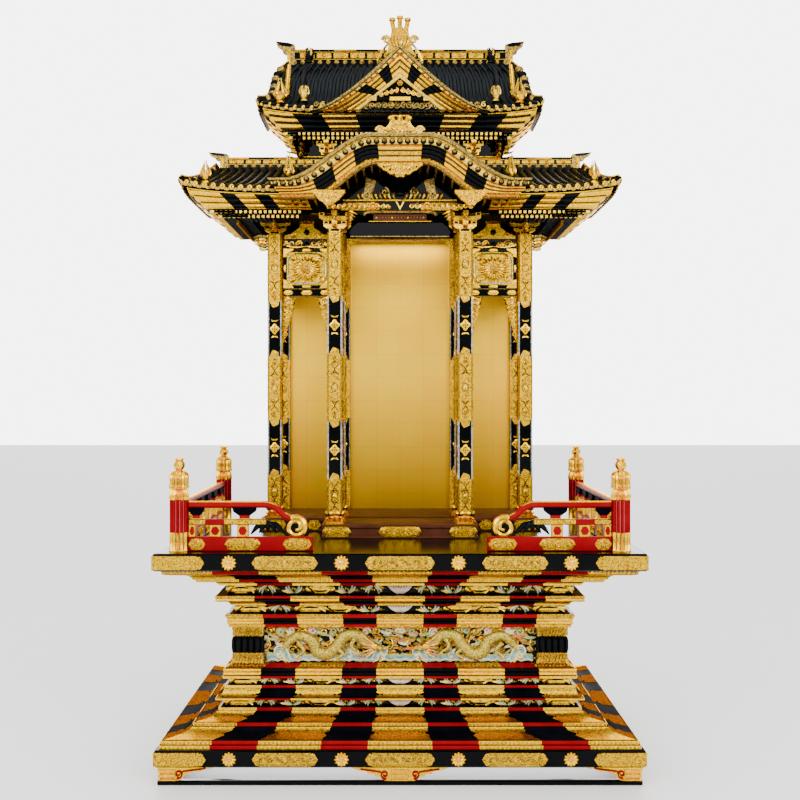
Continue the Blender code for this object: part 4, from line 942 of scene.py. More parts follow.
def wave_sides(piece):
    """Waves and clouds at both ends of the waist."""
    for node, angle in (("wave_panel_left", -90), ("wave_panel_right", 90)):
        low, high = corners(node)
        reach = HALF_X - WAIST_INSET
        half = high[1]
        height = high[2] - low[2]
        place = turn("Z", angle)
        piece.put(block((-half, -reach + 0.004, low[2]), (half, -reach + 0.02, high[2])), BLACK, place)
        side = place @ shift(0, -reach, low[2])
        relief_ground(piece, side, half, height)
        relief_leaves(piece, side @ shift(0, -0.003), half - 0.02, height, 70)
        for i in range(6):
            x = -half + 0.055 + i * (2 * half - 0.08) / 5.4
            wave_curl(piece, side @ shift(0, -0.005), x, 0.012, 0.032)
            cloud = spiral(x, height - 0.026, 0.019, 0.003, 1.4, 60 * i, 18)
            piece.put(tube(cloud, 0.0038, 5, 1.6), (PALE, GOLD, WHITE)[i % 3], side @ shift(0, -0.005))


def waist_panels():
    piece = Piece("relief_panels", "painted_carving",
                  ["dragon_panel_front", "wave_panel_left", "wave_panel_right", "waist_panel_back"])
    dragon_front(piece)
    wave_sides(piece)
    low, high = corners("waist_panel_back")
    piece.put(block(low, high), BLACK)
    for x in (-0.36, 0, 0.36):
        piece.put(plate(cartouche(0.12, 0.03), high[1], high[1] + 0.004), GOLD,
                  shift(x, 0, (low[2] + high[2]) / 2))
    piece.done()


# Boards, rails and feet

def engrave(piece, place, half, tall, y):
    """Engraved vine, border and flower on a flat gold fitting."""
    x = np.linspace(-half * 0.86, half * 0.86, max(12, int(half * 420)))
    waves = max(2, round(half / tall))
    vine = np.column_stack([x, np.full(len(x), y), tall * 0.36 * np.sin(x / half * math.pi * waves)])
    piece.put(tube(vine, 0.0016, 4), DULL, place)
    for level in (-0.74, 0.74):
        piece.put(tube([(-half * 0.84, y, level * tall), (0, y, level * tall),
                        (half * 0.84, y, level * tall)], 0.0009, 4), DULL, place)
    for i in range(2 * waves):
        at = half * 0.86 * ((i + 0.5) / waves - 1)
        coil(piece, (at, -0.1 * tall * (-1) ** i, 0.34 * tall, 0.05 * tall, 1.1 * (-1) ** i, 90, 10, y),
             0.0015, DULL, place, sides=4)
    piece.put(rosette(tall * 0.30, 5, 0.0015), GOLD, place @ shift(0, y))


def plaques(piece, z, height, inset):
    """Gold fittings on the four edges of a board."""
    half_height = height * 0.40
    for k in range(4):
        length, reach = side_sizes(k)
        y = -(reach - inset)
        place = side_place(k) @ shift(0, y + 0.0005, z)
        if k % 2 == 0:
            centres = ((0.0, 0.128), (-0.423, 0.121), (0.423, 0.121))
            studs = (0.215, 0.629)
        else:
            centres = ((0.0, 0.115), (0.36, 0.0))
            studs = (0.20, 0.335)
        for x, half in centres:
            if half:
                piece.put(plate(cartouche(half, half_height), 0, -0.0035, 0.94), CHASED, place @ shift(x))
                engrave(piece, place @ shift(x), half * 0.94, half_height, -0.0040)
        for x in studs:
            for sign in SIGNS:
                piece.put(rosette(half_height * 1.08, 12, 0.009), GOLD, place @ shift(sign * x))
        for sign in SIGNS:
            end = length - inset
            run = 0.195 * (1 if k % 2 == 0 else 0.75)
            tip = [(-run + a * half_height, b * half_height) for a, b in END_SHAPE]
            loop = [(0, -half_height), (0, half_height)] + tip + [(-run, 0.0)] + [(x, -z) for x,
                                                                                  z in reversed(tip)]
            piece.put(plate(loop, 0, -0.0035, 0.94), CHASED,
                      place @ shift(sign * (end + 0.003)) @ stretch(sign))


def boards():
    piece = Piece("lacquer_boards", "black_lacquer", ["top_board", "bottom_board"]
                  + [f"base_rail_{side}" for side in ("front", "back", "left", "right")])
    for node in piece.nodes:
        low, high = corners(node)
        piece.put(block(low, high, 0.004 if "board" in node else 0.002), BLACK)
        if node == "top_board":
            rim = np.array([0.008, 0.008, 0])
            piece.put(bar((*(low + rim)[:2], DECK - 0.001), (*(high - rim)[:2], DECK + 0.0004)), SATIN)
        if "board" in node:
            inset = HALF_Y - high[1]
            plaques(piece, (low[2] + high[2]) / 2 - 0.001, high[2] - low[2], inset)
    piece.done()


FOOT_INSET = 0.015


def foot_scrolls(piece, place, x, z, reach):
    """Reddish outline of a cloud foot: one curl and its stem."""
    curl = spiral(x, z, 0.017, 0.004, 1.3, 250, 22, -0.001)
    piece.put(tube(curl, 0.0030, 6), RED, place)
    stem = curve([(x + 0.014, -0.001, z + 0.009), (x + reach * 0.5, -0.002, z + 0.014),
                  (x + reach, -0.001, z + 0.020)], 8)
    piece.put(tube(stem, 0.0024, 6), RED, place)


def foot_block(piece, place, x0, x1, y1, height):
    """Ribbed block of a foot, widest at the top and bottom."""
    for inset, a, b in ((0.0, 0.0, 0.14), (0.006, 0.14, 0.24), (0.002, 0.24, 0.48), (0.006, 0.48, 0.56),
                        (0.002, 0.56, 0.80), (0.0, 0.80, 1.0)):
        piece.put(block((x0 + inset, inset, a * height), (x1 - inset, y1, b * height)), GOLD, place)


def feet():
    piece = Piece("cloud_feet", "gold_leaf", named("corner_foot_{}_{}", ("front", "back"))
                  + ["middle_foot_front", "middle_foot_back"])
    low, high = corners("corner_foot_front_left")
    height = high[2] - low[2]
    width = high[0] - low[0]
    wing = [(0.30, 0.0), (0.40, 0.06), (0.44, 0.2), (0.42, 0.36), (0.46, 0.55), (0.56, 0.50), (0.62, 0.68),
            (0.74, 0.66), (0.80, 0.82), (0.94, 0.86), (1.0, 1.0), (0.30, 1.0)]
    loop = [(x * width, z * height) for x, z in wing]
    for sign_x, sign_y in QUADRANTS:
        place = stretch(sign_x, sign_y) @ shift(-(HALF_X - FOOT_INSET), -(HALF_Y - FOOT_INSET), low[2])
        foot_block(piece, place, 0.0, width * 0.33, width * 0.33, height)
        for turned in (np.eye(4), turn("Z", 90) @ stretch(1, -1)):
            piece.put(prism(loop, 0.004, 0.045), GOLD, place @ turned)
            foot_scrolls(piece, place @ turned, 0.078, 0.026, 0.10)
    low, high = corners("middle_foot_front")
    half = (high[0] - low[0]) / 2
    right = [(0.0, 0.0), (0.30, 0.0), (0.34, 0.12), (0.40, 0.3), (0.50, 0.3), (0.54, 0.48), (0.66, 0.5),
             (0.70, 0.68), (0.86, 0.74), (1.0, 0.92), (1.0, 1.0)]
    loop = [(x * half, z * height) for x, z in right]
    loop += [(-x, z) for x, z in reversed(loop[1:])]
    for sign_y in SIGNS:
        place = stretch(1, sign_y) @ shift(0, -(HALF_Y - FOOT_INSET), low[2])
        piece.put(prism(loop, 0.004, 0.07), GOLD, place)
        foot_block(piece, place, -0.034, 0.034, 0.06, height)
        for sign in SIGNS:
            foot_scrolls(piece, place @ stretch(sign), 0.056, 0.024, 0.09)
    piece.done()


# Railings on the dais

POST_INSET = 0.083
POST_RADIUS = 0.038
RAIL_END = 0.790
SILL_TOP = 0.054
RAIL_LOW = 0.099
RAIL_TOP = 0.120
SUPPORT_TOP = 0.168
HANDRAIL = 0.173

# parts of a post: profile (radius, z), finish, flutes and their depth
POST_PARTS = ((((0.0385, 0.0), (0.0385, 0.006), (0.0365, 0.008), (0.0365, 0.066), (0.038, 0.071)), GOLD, 12,
               0.20), (((0.036, 0.071), (0.036, 0.198)), RED, 12, 0.26),
              (((0.036, 0.192), (0.0385, 0.198), (0.0370, 0.212), (0.032, 0.228), (0.028, 0.233)), GOLD, 12,
               0.28), (((0.026, 0.232), (0.0375, 0.234), (0.0385, 0.239), (0.0368, 0.244), (0.0358, 0.262),
                        (0.0375, 0.282), (0.034, 0.286)), GOLD, 14, 0.20),
              (((0.034, 0.285), (0.035, 0.289), (0.030, 0.295), (0.020, 0.301), (0.010, 0.304)), GOLD, 10,
               0.10), (((0.010, 0.302), (0.016, 0.308), (0.0215, 0.318), (0.0205, 0.330), (0.013, 0.3375),
                        (0.017, 0.342), (0.0155, 0.347), (0.004, 0.3495)), GOLD, 8, 0.10))

# lines along the flutes: radius, lower and upper end, count and finish; the pale red lines on the red length
# are painted highlights
FLUTE_LINES = ((0.0300, 0.006, 0.070, 12, DULL), (0.0272, 0.072, 0.192, 12, FLUTE_HIGHLIGHT),
               (0.0296, 0.236, 0.284, 14, DULL))


def railing_posts(piece):
    x = HALF_X - POST_INSET
    y = HALF_Y - POST_INSET
    for sign_x, sign_y in QUADRANTS:
        here = shift(sign_x * x, sign_y * y, DECK)
        for profile, finish, flutes, depth in POST_PARTS:
            piece.put(lathe(profile, flutes * 4, flutes, depth), finish, here)
        for radius, low, high, count, finish in FLUTE_LINES:
            for i in range(count):
                a = 2 * math.pi * (i + 0.5) / count
                line = [(radius * math.cos(a), radius * math.sin(a), z)
                        for z in (low, (low + high) / 2, high)]
                piece.put(tube(line, 0.0013, 5, 1.0, (math.cos(a), math.sin(a), 0)), finish, here)


def cartouche_plate(piece, place, x0, x1, z0, z1, y):
    """Engraved gold fitting over a rail, with arabesque scrolls in low relief."""
    half = (x1 - x0) / 2
    tall = (z1 - z0) / 2
    middle = place @ shift((x0 + x1) / 2, y, (z0 + z1) / 2)
    piece.put(plate(cartouche(half, tall), 0.0015, -0.0015, 0.94), CHASED, middle)
    count = max(1, int(half / tall))
    for i in range(count):
        x = -half + 2 * half * (i + 0.5) / count
        curl = spiral(x, 0, tall * 0.62, tall * 0.12, 1.3, 200 * (i % 2), 14, -0.0022)
        piece.put(tube(curl, tall * 0.09 + 0.0006, 4), GOLD, middle)


def rail_support(piece, place, x, low, high, half):
    """Boat-shaped block on a red and gold cube between two rails."""
    loop = [(-half, high), (-half * 0.9, high - 0.4 * (high - low)),
            (-half * 0.45, low + 0.28 * (high - low)), (half * 0.45, low + 0.28 * (high - low)),
            (half * 0.9, high - 0.4 * (high - low)), (half, high)]
    piece.put(prism(loop, -0.010, 0.010), MATT, place @ shift(x))
    piece.put(bar((-half * 0.4, -0.011, low), (half * 0.4, 0.011, low + 0.3 * (high - low))), RED,
              place @ shift(x))
    piece.put(bar((-half * 0.5, -0.012, low), (half * 0.5, 0.012, low + 0.06 * (high - low))), GOLD,
              place @ shift(x))


def rail_strut(piece, place, x, half):
    """Square strut with a red oval in a gold frame."""
    piece.put(block((x - half, -0.010, SILL_TOP), (x + half, 0.010, RAIL_LOW)), GOLD, place)
    piece.put(plate(cartouche(half * 0.76, 0.0165), -0.009, -0.013), RED, place @ shift(x, 0, 0.0765))


def front_railing(piece):
    """Left front railing and its mirror image, ending in a scroll."""
    y = -(HALF_Y - POST_INSET)
    for mirror in (1, -1):
        place = stretch(mirror) @ shift(0, y, DECK)
        piece.put(block((-RAIL_END, -0.014, 0.0), (-0.326, 0.014, SILL_TOP), 0.003), RED, place)
        for x0, x1 in ((-RAIL_END, -0.7265), (-0.655, -0.5206), (-0.438, -0.3296)):
            for face in (1, -1):
                cartouche_plate(piece, place @ stretch(1, face), x0, x1, 0.005, 0.049, -0.0145)
        for x, half in ((-0.777, 0.012), (-0.691, 0.021), (-0.588, 0.021)):
            rail_strut(piece, place, x, half)
        piece.put(block((-RAIL_END, -0.011, RAIL_LOW), (-0.502, 0.011, RAIL_TOP), 0.002), RED, place)
        for x0, x1 in ((-RAIL_END, -0.7265), (-0.659, -0.500)):
            piece.put(block((x0, -0.0125, 0.0985), (x1, 0.0125, 0.1205), 0.003), CHASED, place)
        rail_support(piece, place, -0.582, RAIL_TOP, SUPPORT_TOP, 0.047)
        rail_support(piece, place, -0.762, RAIL_TOP, SUPPORT_TOP, 0.030)
        for k in range(5):
            lean = (k - 2) / 2
            leaf = curve([(-0.495 + 0.006 * lean, 0, 0.116 - 0.012 * abs(lean)),
                          (-0.495 + 0.034 * lean, -0.003, 0.096),
                          (-0.495 + 0.064 * lean, 0, 0.062 + 0.010 * (1 - abs(lean)))], 9)
            swell = 0.0105 * np.sin(np.linspace(0.4, 2.95, 9))
            piece.put(tube(leaf, swell, 6, 0.9), TILE, place)
        rise = curve([(-RAIL_END, 0, HANDRAIL), (-0.65, 0, HANDRAIL), (-0.55, 0, HANDRAIL),
                      (-0.495, 0, 0.172), (-0.462, 0, 0.160), (-0.436, 0, 0.136), (-0.408, 0, 0.121)], 34)
        curl = spiral(-0.3895, 0.0894, 0.0365, 0.010, -1.6, 118, 44, 0.0, 1.5)
        piece.put(tube(rise, 0.0125, 10, 1.1), RED, place)
        piece.put(tube(rise + (0, 0, 0.0105), 0.0036, 8, 2.6), GOLD, place)
        piece.put(tube(curl, np.linspace(0.0130, 0.0075, 44), 8, 1.3), GOLD, place)
        disc = [(-0.3895 + 0.040 * math.cos(a), 0.0894 + 0.040 * math.sin(a))
                for a in np.linspace(0, 6.02, 24)]
        piece.put(prism(disc, -0.004, 0.012), BLACK, place)


def side_railing(piece):
    """Straight railings along both ends of the dais."""
    half = HALF_Y - POST_INSET - POST_RADIUS
    for side in SIGNS:
        place = shift(side * (HALF_X - POST_INSET), 0, DECK) @ turn("Z", 90 * side)
        piece.put(block((-half, -0.014, 0.0), (half, 0.014, SILL_TOP), 0.003), RED, place)
        piece.put(block((-half, -0.011, RAIL_LOW), (half, 0.011, RAIL_TOP), 0.002), RED, place)
        piece.put(tube([(-half, 0, HANDRAIL), (0, 0, HANDRAIL), (half, 0, HANDRAIL)], 0.0125, 10, 1.1), RED,
                  place)
        piece.put(tube([(-half, 0, 0.1835), (0, 0, 0.1835), (half, 0, 0.1835)], 0.0036, 8, 2.6), GOLD, place)
        for i in range(7):
            x = -half + 2 * half * i / 6
            span = 0.055
            left, right = max(x - span, -half), min(x + span, half)
            for face in (1, -1):
                cartouche_plate(piece, place @ stretch(1, face), left, right, 0.005, 0.049, -0.0145)
            piece.put(block((left, -0.0125, 0.0985), (right, 0.0125, 0.1205), 0.003), CHASED, place)
        for i in range(6):
            x = -half + 2 * half * (i + 0.5) / 6
            rail_strut(piece, place, x, 0.020)
            rail_support(piece, place, x, RAIL_TOP, SUPPORT_TOP, 0.047)


def railings():
    piece = Piece("railings", "red_lacquer", named("railing_post_{}_{}", ("front", "back"))
                  + named("{}_railing_{}", ("front", "side")))
    railing_posts(piece)
    front_railing(piece)
    side_railing(piece)
    piece.done()


# Palace floor, wall and columns

PORCH_Y = -0.101
ROW_Y = 0.151
INNER_X = 0.268
OUTER_X = 0.543
COLUMN_XS = (-OUTER_X, -INNER_X, INNER_X, OUTER_X)
WALL_Y = corners("rear_wall")[0][1] + 0.022


def plinth():
    piece = Piece("plinth_looks", "brown_lacquer", ["plinth"])
    low, high = corners("plinth")
    z0, z1 = low[2], high[2]
    steps = ((0.0, z0, z0 + 0.012), (0.010, z0 + 0.012, z1 - 0.014), (0.0, z1 - 0.014, z1))
    for inset, a, b in steps:
        piece.put(block((-0.60 + inset, 0.095 + inset, a), (0.60 - inset, high[1] - inset, b)), BROWN)
        piece.put(block((-0.32 + inset, low[1] + inset, a), (0.32 - inset, 0.12, b)), BROWN)
    for x0, x1 in ((-0.088, 0.088), (-0.318, -0.20), (0.20, 0.318)):
        cartouche_plate(piece, np.eye(4), x0, x1, z0 + 0.006, z1 - 0.008, low[1] - 0.0005)
    for sign in SIGNS:
        for x0, x1 in ((0.34, 0.40), (0.49, 0.598)):
            cartouche_plate(piece, stretch(sign), x0, x1, z0 + 0.006, z1 - 0.008, 0.0945)
    piece.done()


# black lengths between the gold sheaths of a column
BLACK_LENGTHS = ((1.094, 1.334), (1.609, 1.847))


def gold_lengths(low, high):
    """Sheathed lengths of a shaft from low to high."""
    (a, b), (c, d) = BLACK_LENGTHS
    return (low, a), (b, c), (d, high)


def octagon(half, chamfer, z):
    a, b = half, half - chamfer
    return [(-b, -a, z), (b, -a, z), (a, -b, z), (a, b, z), (b, a, z), (-b, a, z), (-a, b, z), (-a, -b, z)]


def tongue(half, height):
    """Three-lobed end of a metal sheath, pointing up from z=0."""
    loop = [(-half, 0.0)]
    for t in np.linspace(0, math.pi, 25):
        lobe = 1 - 0.16 * abs(math.sin(2.5 * t)) ** 0.7
        loop.append((-half * math.cos(t) * lobe, height * math.sin(t) * lobe))
    return loop + [(half, 0.0)]


def diamond_mark(piece, face):
    """Pierced diamond fitting between two small bars, as set on the black lengths."""
    diamond = []
    for t in np.linspace(0, 6.02, 24):
        reach = 0.86 + 0.14 * math.cos(4 * t)
        diamond.append((0.021 * math.cos(t) * reach, 0.024 * math.sin(t) * reach))
    piece.put(plate(diamond, 0.0, -0.0022), GOLD, face)
    for dx, dz in ((0, 0), (0.009, 0), (-0.009, 0), (0, 0.011), (0, -0.011)):
        piece.put(dome(0.0030, 0.0012, 6), BLACK, face @ shift(dx, -0.0022, dz))
    for s in SIGNS:
        loop = [(-0.016, 0.040 * s), (-0.010, 0.031 * s), (0.010, 0.031 * s), (0.016, 0.040 * s),
                (0.006, 0.036 * s), (-0.006, 0.036 * s)]
        piece.put(plate(loop, 0.0, -0.002), GOLD, face)


def sheath_marks(piece, face, low, high, reach):
    """Crossed stems either side of a roundel, chased on a gold length."""
    middle = (low + high) / 2
    apart = 0.27 * (high - low)
    ring = [(0.62 * reach * math.cos(a), -0.0020, middle + 0.80 * reach * math.sin(a))
            for a in np.linspace(0, 6.28, 15)]
    piece.put(tube(ring, 0.0013, 4), BROWN, face)
    piece.put(dome(0.42 * reach, 0.0024, 8), PALE, face @ shift(0, -0.0012, middle))
    for end in SIGNS:
        z = middle + end * apart
        for s in SIGNS:
            stem = curve([(-s * 0.78 * reach, -0.0018, z - 1.05 * reach),
                          (-s * 0.10 * reach, -0.0020, z - 0.25 * reach),
                          (s * 0.10 * reach, -0.0020, z + 0.25 * reach),
                          (s * 0.78 * reach, -0.0018, z + 1.05 * reach)], 9)
            piece.put(tube(stem, 0.0017, 4), BROWN, face)
        brow = curve([(-0.75 * reach, -0.0018, z - end * 0.95 * reach), (0, -0.0020, z - end * 0.60 * reach),
                      (0.75 * reach, -0.0018, z - end * 0.95 * reach)], 7)
        piece.put(tube(brow, 0.0018, 4), BROWN, face)
        for k in range(1, 4):
            level = z + end * (0.9 + 0.62 * k) * reach
            if abs(level - middle) < (high - low) / 2 - 0.006:
                coil(piece, (0.0, level, 0.34 * reach, 0.1 * reach, 1.2 * end, 180 * k, 10, -0.0018),
                     0.0013, BROWN, face, sides=4)


HIGHLIGHT_HALF = 0.0028


def column(piece, x, y, top):
    """Black column with engraved gold sheaths, cartouches and painted highlights on its arrises."""
    here = shift(x, y)
    half = 0.030
    piece.put(capped([octagon(half, 0.007, FLOOR + 0.03), octagon(half, 0.007, top)]), BLACK, here)
    piece.put(capped([octagon(half * 1.45, 0.009, FLOOR + z) for z in (0.0, 0.010)]), GOLD, here)
    lotus = ((0.036, 0.010), (0.042, 0.014), (0.0425, 0.019), (0.034, 0.023), (0.031, 0.025), (0.040, 0.033),
             (0.043, 0.042), (0.039, 0.050), (0.032, 0.053))
    piece.put(lathe([(r, FLOOR + z) for r, z in lotus], 48, 12, 0.14), GOLD, here)
    for low, high in gold_lengths(FLOOR + 0.045, top - 0.001):
        piece.put(capped([octagon(half + 0.0014, 0.008, low), octagon(half + 0.0014, 0.008, high)]), CHASED,
                  here)
        for k in range(4):
            face = here @ turn("Z", 90 * k)
            for level, flip in ((high, 1), (low, -1)):
                if FLOOR + 0.06 < level < top - 0.02:
                    piece.put(plate(tongue(0.0225, 0.030), 0.0, -0.0022, 0.94), GOLD,
                              face @ shift(0, -half, level) @ stretch(1, 1, flip))
            count = max(1, int((high - low) / 0.068))
            for i in range(count):
                z = low + (high - low) * (i + 0.5) / count
                for s in SIGNS:
                    curl = spiral(s * 0.009, z + 0.008 * s, 0.010, 0.002, 1.2 * s, 90 + 90 * s, 12,
                                  -half - 0.0020)
                    piece.put(tube(curl, 0.0013, 4), GOLD, face)
            sheath_marks(piece, face @ shift(0, -half), low, high, 0.72 * half)
    # Pale strips along the four arrises of each black length are painted highlights.
    edge = half - 0.0030
    for low, high in BLACK_LENGTHS:
        for sign_x, sign_y in QUADRANTS:
            x, y = sign_x * edge, sign_y * edge
            piece.put(bar((x - HIGHLIGHT_HALF, y - HIGHLIGHT_HALF, low), (x + HIGHLIGHT_HALF, y + HIGHLIGHT_HALF, high)),
                      SILVER_AND_HIGHLIGHT, here)
        middle = (low + high) / 2
        for k in range(4):
            diamond_mark(piece, here @ turn("Z", 90 * k) @ shift(0, -half, middle))


def columns():
    piece = Piece("columns", "gold_leaf", named("{}_column_{}", ("porch", "inner", "outer")))
    for sign in SIGNS:
        column(piece, sign * INNER_X, PORCH_Y, PORCH_TOP)
        column(piece, sign * INNER_X, ROW_Y, COLUMN_TOP)
        column(piece, sign * OUTER_X, ROW_Y, COLUMN_TOP)
        nose = stretch(sign) @ shift(OUTER_X + 0.028, ROW_Y, COLUMN_TOP)
        for k in range(5):
            lift = -0.016 - 0.012 * k
            leaf = curve([(0.0, 0, lift), (0.030, -0.004, lift + 0.010 - 0.002 * k),
                          (0.068 - 0.006 * k, 0, lift + 0.004)], 9)
            piece.put(tube(leaf, np.array([0.4, 0.7, 1, 1.2, 1.3, 1.2, 1.0, 0.7, 0.3]) * 0.0075, 6, 1.5),
                      (DULL, PALE, GOLD)[k % 3], nose)
        coil(piece, (0.052, -0.034, 0.017, 0.003, 1.4, 90, 20, -0.012), 0.0032, GOLD, nose)
    piece.done()


def rear_wall():
    piece = Piece("gilded_wall", "gold_leaf", ["rear_wall"])
    low, high = corners("rear_wall")
    piece.put(bar((low[0], WALL_Y, low[2]), (high[0], high[1], high[2])), LEAF)
    for x in COLUMN_XS:
        edge = 0.036 if abs(x) == INNER_X else 0.030
        piece.put(block((x - edge, low[1], low[2]), (x + edge, WALL_Y + 0.001, high[2])), BLACK)
        for a, b in gold_lengths(low[2], high[2]):
            piece.put(block((x - edge - 0.001, low[1] - 0.001, a), (x + edge + 0.001, WALL_Y, b)), CHASED)
            sheath_marks(piece, shift(x, low[1] - 0.001), a, b, 0.72 * edge)
            for level, flip in ((b, 1), (a, -1)):
                if low[2] + 0.1 < level < high[2] - 0.1:
                    piece.put(plate(tongue(0.75 * edge, 0.030), 0.0, -0.0022, 0.94), GOLD,
                              shift(x, low[1], level) @ stretch(1, 1, flip))
        for a, b in BLACK_LENGTHS:
            front = shift(x, low[1], (a + b) / 2)
            diamond_mark(piece, front)
            # The pale strips down both sides of each black length are painted highlights.
            for side in SIGNS:
                middle = side * (edge - 0.004)
                piece.put(bar((middle - 0.0018, -0.0012, (a - b) / 2), (middle + 0.0018, 0.001, (b - a) / 2)),
                          SILVER_AND_HIGHLIGHT, front)
    for z in (low[2] + 0.30, low[2] + 0.62, low[2] + 0.94):
        piece.put(block((low[0] + 0.02, high[1], z - 0.02), (high[0] - 0.02, high[1] + 0.004, z + 0.02)),
                  BLACK)
    piece.done()


# Carved bays and bracket sets

def leaf_stroke(piece, place, points, width, finish, flat=1.4):
    path = curve(points, 9)
    swell = np.array([0.25, 0.6, 0.85, 1, 1.05, 1, 0.8, 0.5, 0.15]) * width
    piece.put(tube(path, swell, 6, flat), finish, place)


TIE_LEVELS = (1.872, 1.901)
PANEL_LEVELS = (1.906, 2.078)
FRIEZE_LOW = 2.079
FRIEZE_TOP = 2.1215


def bay_panel(piece, front, half):
    """Carved panel in its black frame, with gold corners and a silvered rim."""
    low, high = PANEL_LEVELS
    middle = (low + high) / 2
    piece.put(bar((-half, -0.006, low), (half, 0.0, high)), WARM, front)
    for a, b in (((-half, low), (half, low + 0.014)), ((-half, high - 0.014), (half, high)),
                 ((-half, low), (-half + 0.014, high)), ((half - 0.014, low), (half, high))):
        piece.put(block((a[0], -0.014, a[1]), (b[0], -0.004, b[1])), BLACK, front)
    for sx in SIGNS:
        for sz in SIGNS:
            corner = [(0, 0), (0.046, 0), (0.040, -0.010), (0.028, -0.014), (0.020, -0.022),
                      (0.014, -0.034), (0, -0.040)]
            piece.put(plate(corner, -0.012, -0.0165, 0.9), GOLD,
                      front @ shift(sx * half, 0, middle + sz * (high - low) / 2) @ stretch(-sx, 1, sz))
        piece.put(plate(cartouche(0.0055, 0.018), -0.013, -0.016), GOLD,
                  front @ shift(sx * (half - 0.007), 0, middle))
        piece.put(plate(cartouche(0.020, 0.0055), -0.013, -0.016), GOLD,
                  front @ shift(0, 0, middle + sx * ((high - low) / 2 - 0.007)))
    rim = []
    for t in np.linspace(0, 2 * math.pi, 49):
        c, s = math.cos(t), math.sin(t)
        power = 0.42
        cut = 1 - 0.06 * abs(math.sin(2 * t)) ** 6
        rim.append(((half - 0.019) * math.copysign(abs(c) ** power, c) * cut, -0.013,
                    middle + ((high - low) / 2 - 0.021) * math.copysign(abs(s) ** power, s) * cut))
    piece.put(tube(rim, 0.0022, 5), SILVER_AND_HIGHLIGHT, front)
    for i in range(26):
        a = 2 * math.pi * i / 26
        reach = 0.86 + 0.14 * (i % 2)
        tip = ((half - 0.028) * math.cos(a) * reach, 0, middle - 0.004 + 0.060 * math.sin(a) * reach)
        leaf_stroke(piece, front @ shift(0, -0.010), [(0.012 * math.cos(a), -0.004,
                                                       middle + 0.012 * math.sin(a)),
                                                      (tip[0] * 0.55, -0.006,
                                                       middle + (tip[2] - middle) * 0.6), tip], 0.0052,
                    (GOLD, CHASED, GOLD, WARM)[i % 4])
    for i in range(12):
        a = 2 * math.pi * i / 12
        centre = (0.026 * math.cos(a), 0, middle + 0.026 * math.sin(a))
        coil(piece, (centre[0], centre[2], 0.013, 0.003, 1.2, math.degrees(a), 12, -0.016), 0.0034,
             (GOLD, PALE)[i % 2], front)
    for sx in SIGNS:
        for sz in SIGNS:
            coil(piece, (sx * (half - 0.042), middle + sz * 0.046, 0.015, 0.003, 1.3 * sx, 90 * sz, 16,
                         -0.013), 0.0040, GOLD, front)
    piece.put(rosette(0.016, 9, 0.008), PALE, front @ shift(0, -0.016, middle + 0.002))


def bay_frieze(piece, front, half):
    """Band of scrolls over the panel."""
    piece.put(bar((-half, -0.006, FRIEZE_LOW), (half, 0.0, FRIEZE_TOP)), BLACK, front)
    for sx in SIGNS:
        for x, r, start in ((0.30, 0.017, 200), (0.62, 0.019, 20), (0.88, 0.012, 120)):
            coil(piece, (sx * half * x, 2.099, r, 0.003, 1.5 * sx, start, 20, -0.010), 0.0040,
                 (GOLD, PALE)[x == 0.62], front)
        leaf_stroke(piece, front, [(0, -0.010, 2.088), (sx * half * 0.5, -0.013, 2.083),
                                   (sx * half, -0.010, 2.094)], 0.0045, GOLD)
    piece.put(dome(0.012, 0.010, 12), BLACK, front @ shift(0, -0.006, 2.098))


def bay_spandrels(piece, front, half):
    """Two hanging brackets of leaves under the tie beam."""
    for sx in SIGNS:
        wave = [(0, 1.869)]
        for j in range(19):
            drop = j / 18
            wave.append((0.056 * (1 - drop) ** 0.8 * (1 - 0.16 * abs(math.sin(4.5 * math.pi * drop))) + 0.002,
                         1.869 - 0.178 * drop))
        wave.append((0, 1.688))
        piece.put(plate(wave, 0.0, -0.006, 0.9), CHASED, front @ shift(sx * half) @ stretch(-sx))
    for j in range(8):
        for sx in SIGNS:
            z = 1.866 - 0.021 * j
            reach = 0.052 * (1 - j / 8.5) ** 0.8
            leaf_stroke(piece, front @ shift(0, -0.004), [(sx * half, 0, z),
                                                          (sx * (half - reach * 0.5), -0.004, z - 0.004),
                                                          (sx * (half - reach), 0, z - 0.018)],
                        0.0068 - 0.0004 * j, (GOLD, PALE, CHASED, GOLD)[j % 4])


def frog_leg(piece, place, half):
    """Strut between the frieze and the eaves."""
    strut = [(-0.098, FRIEZE_TOP), (-0.094, 2.136), (-0.070, 2.142), (-0.045, 2.160), (-0.030, 2.172),
             (-0.030, 2.184), (0.030, 2.184), (0.030, 2.172), (0.045, 2.160), (0.070, 2.142),
             (0.094, 2.136), (0.098, FRIEZE_TOP)]
    scale = half / 0.101
    piece.put(prism([(x * min(scale, 1.1), z) for x, z in strut], -0.009, 0.009), CHASED, place)
    for face in (1, -1):
        front = place @ stretch(1, face)
        piece.put(dome(0.013, 0.004, 14), BLACK, front @ shift(0, -0.009, 2.150))
        for sx in SIGNS:
            coil(piece, (sx * 0.060, 2.136, 0.013, 0.003, 1.3 * sx, 45, 16, -0.010), 0.0030, GOLD, front)


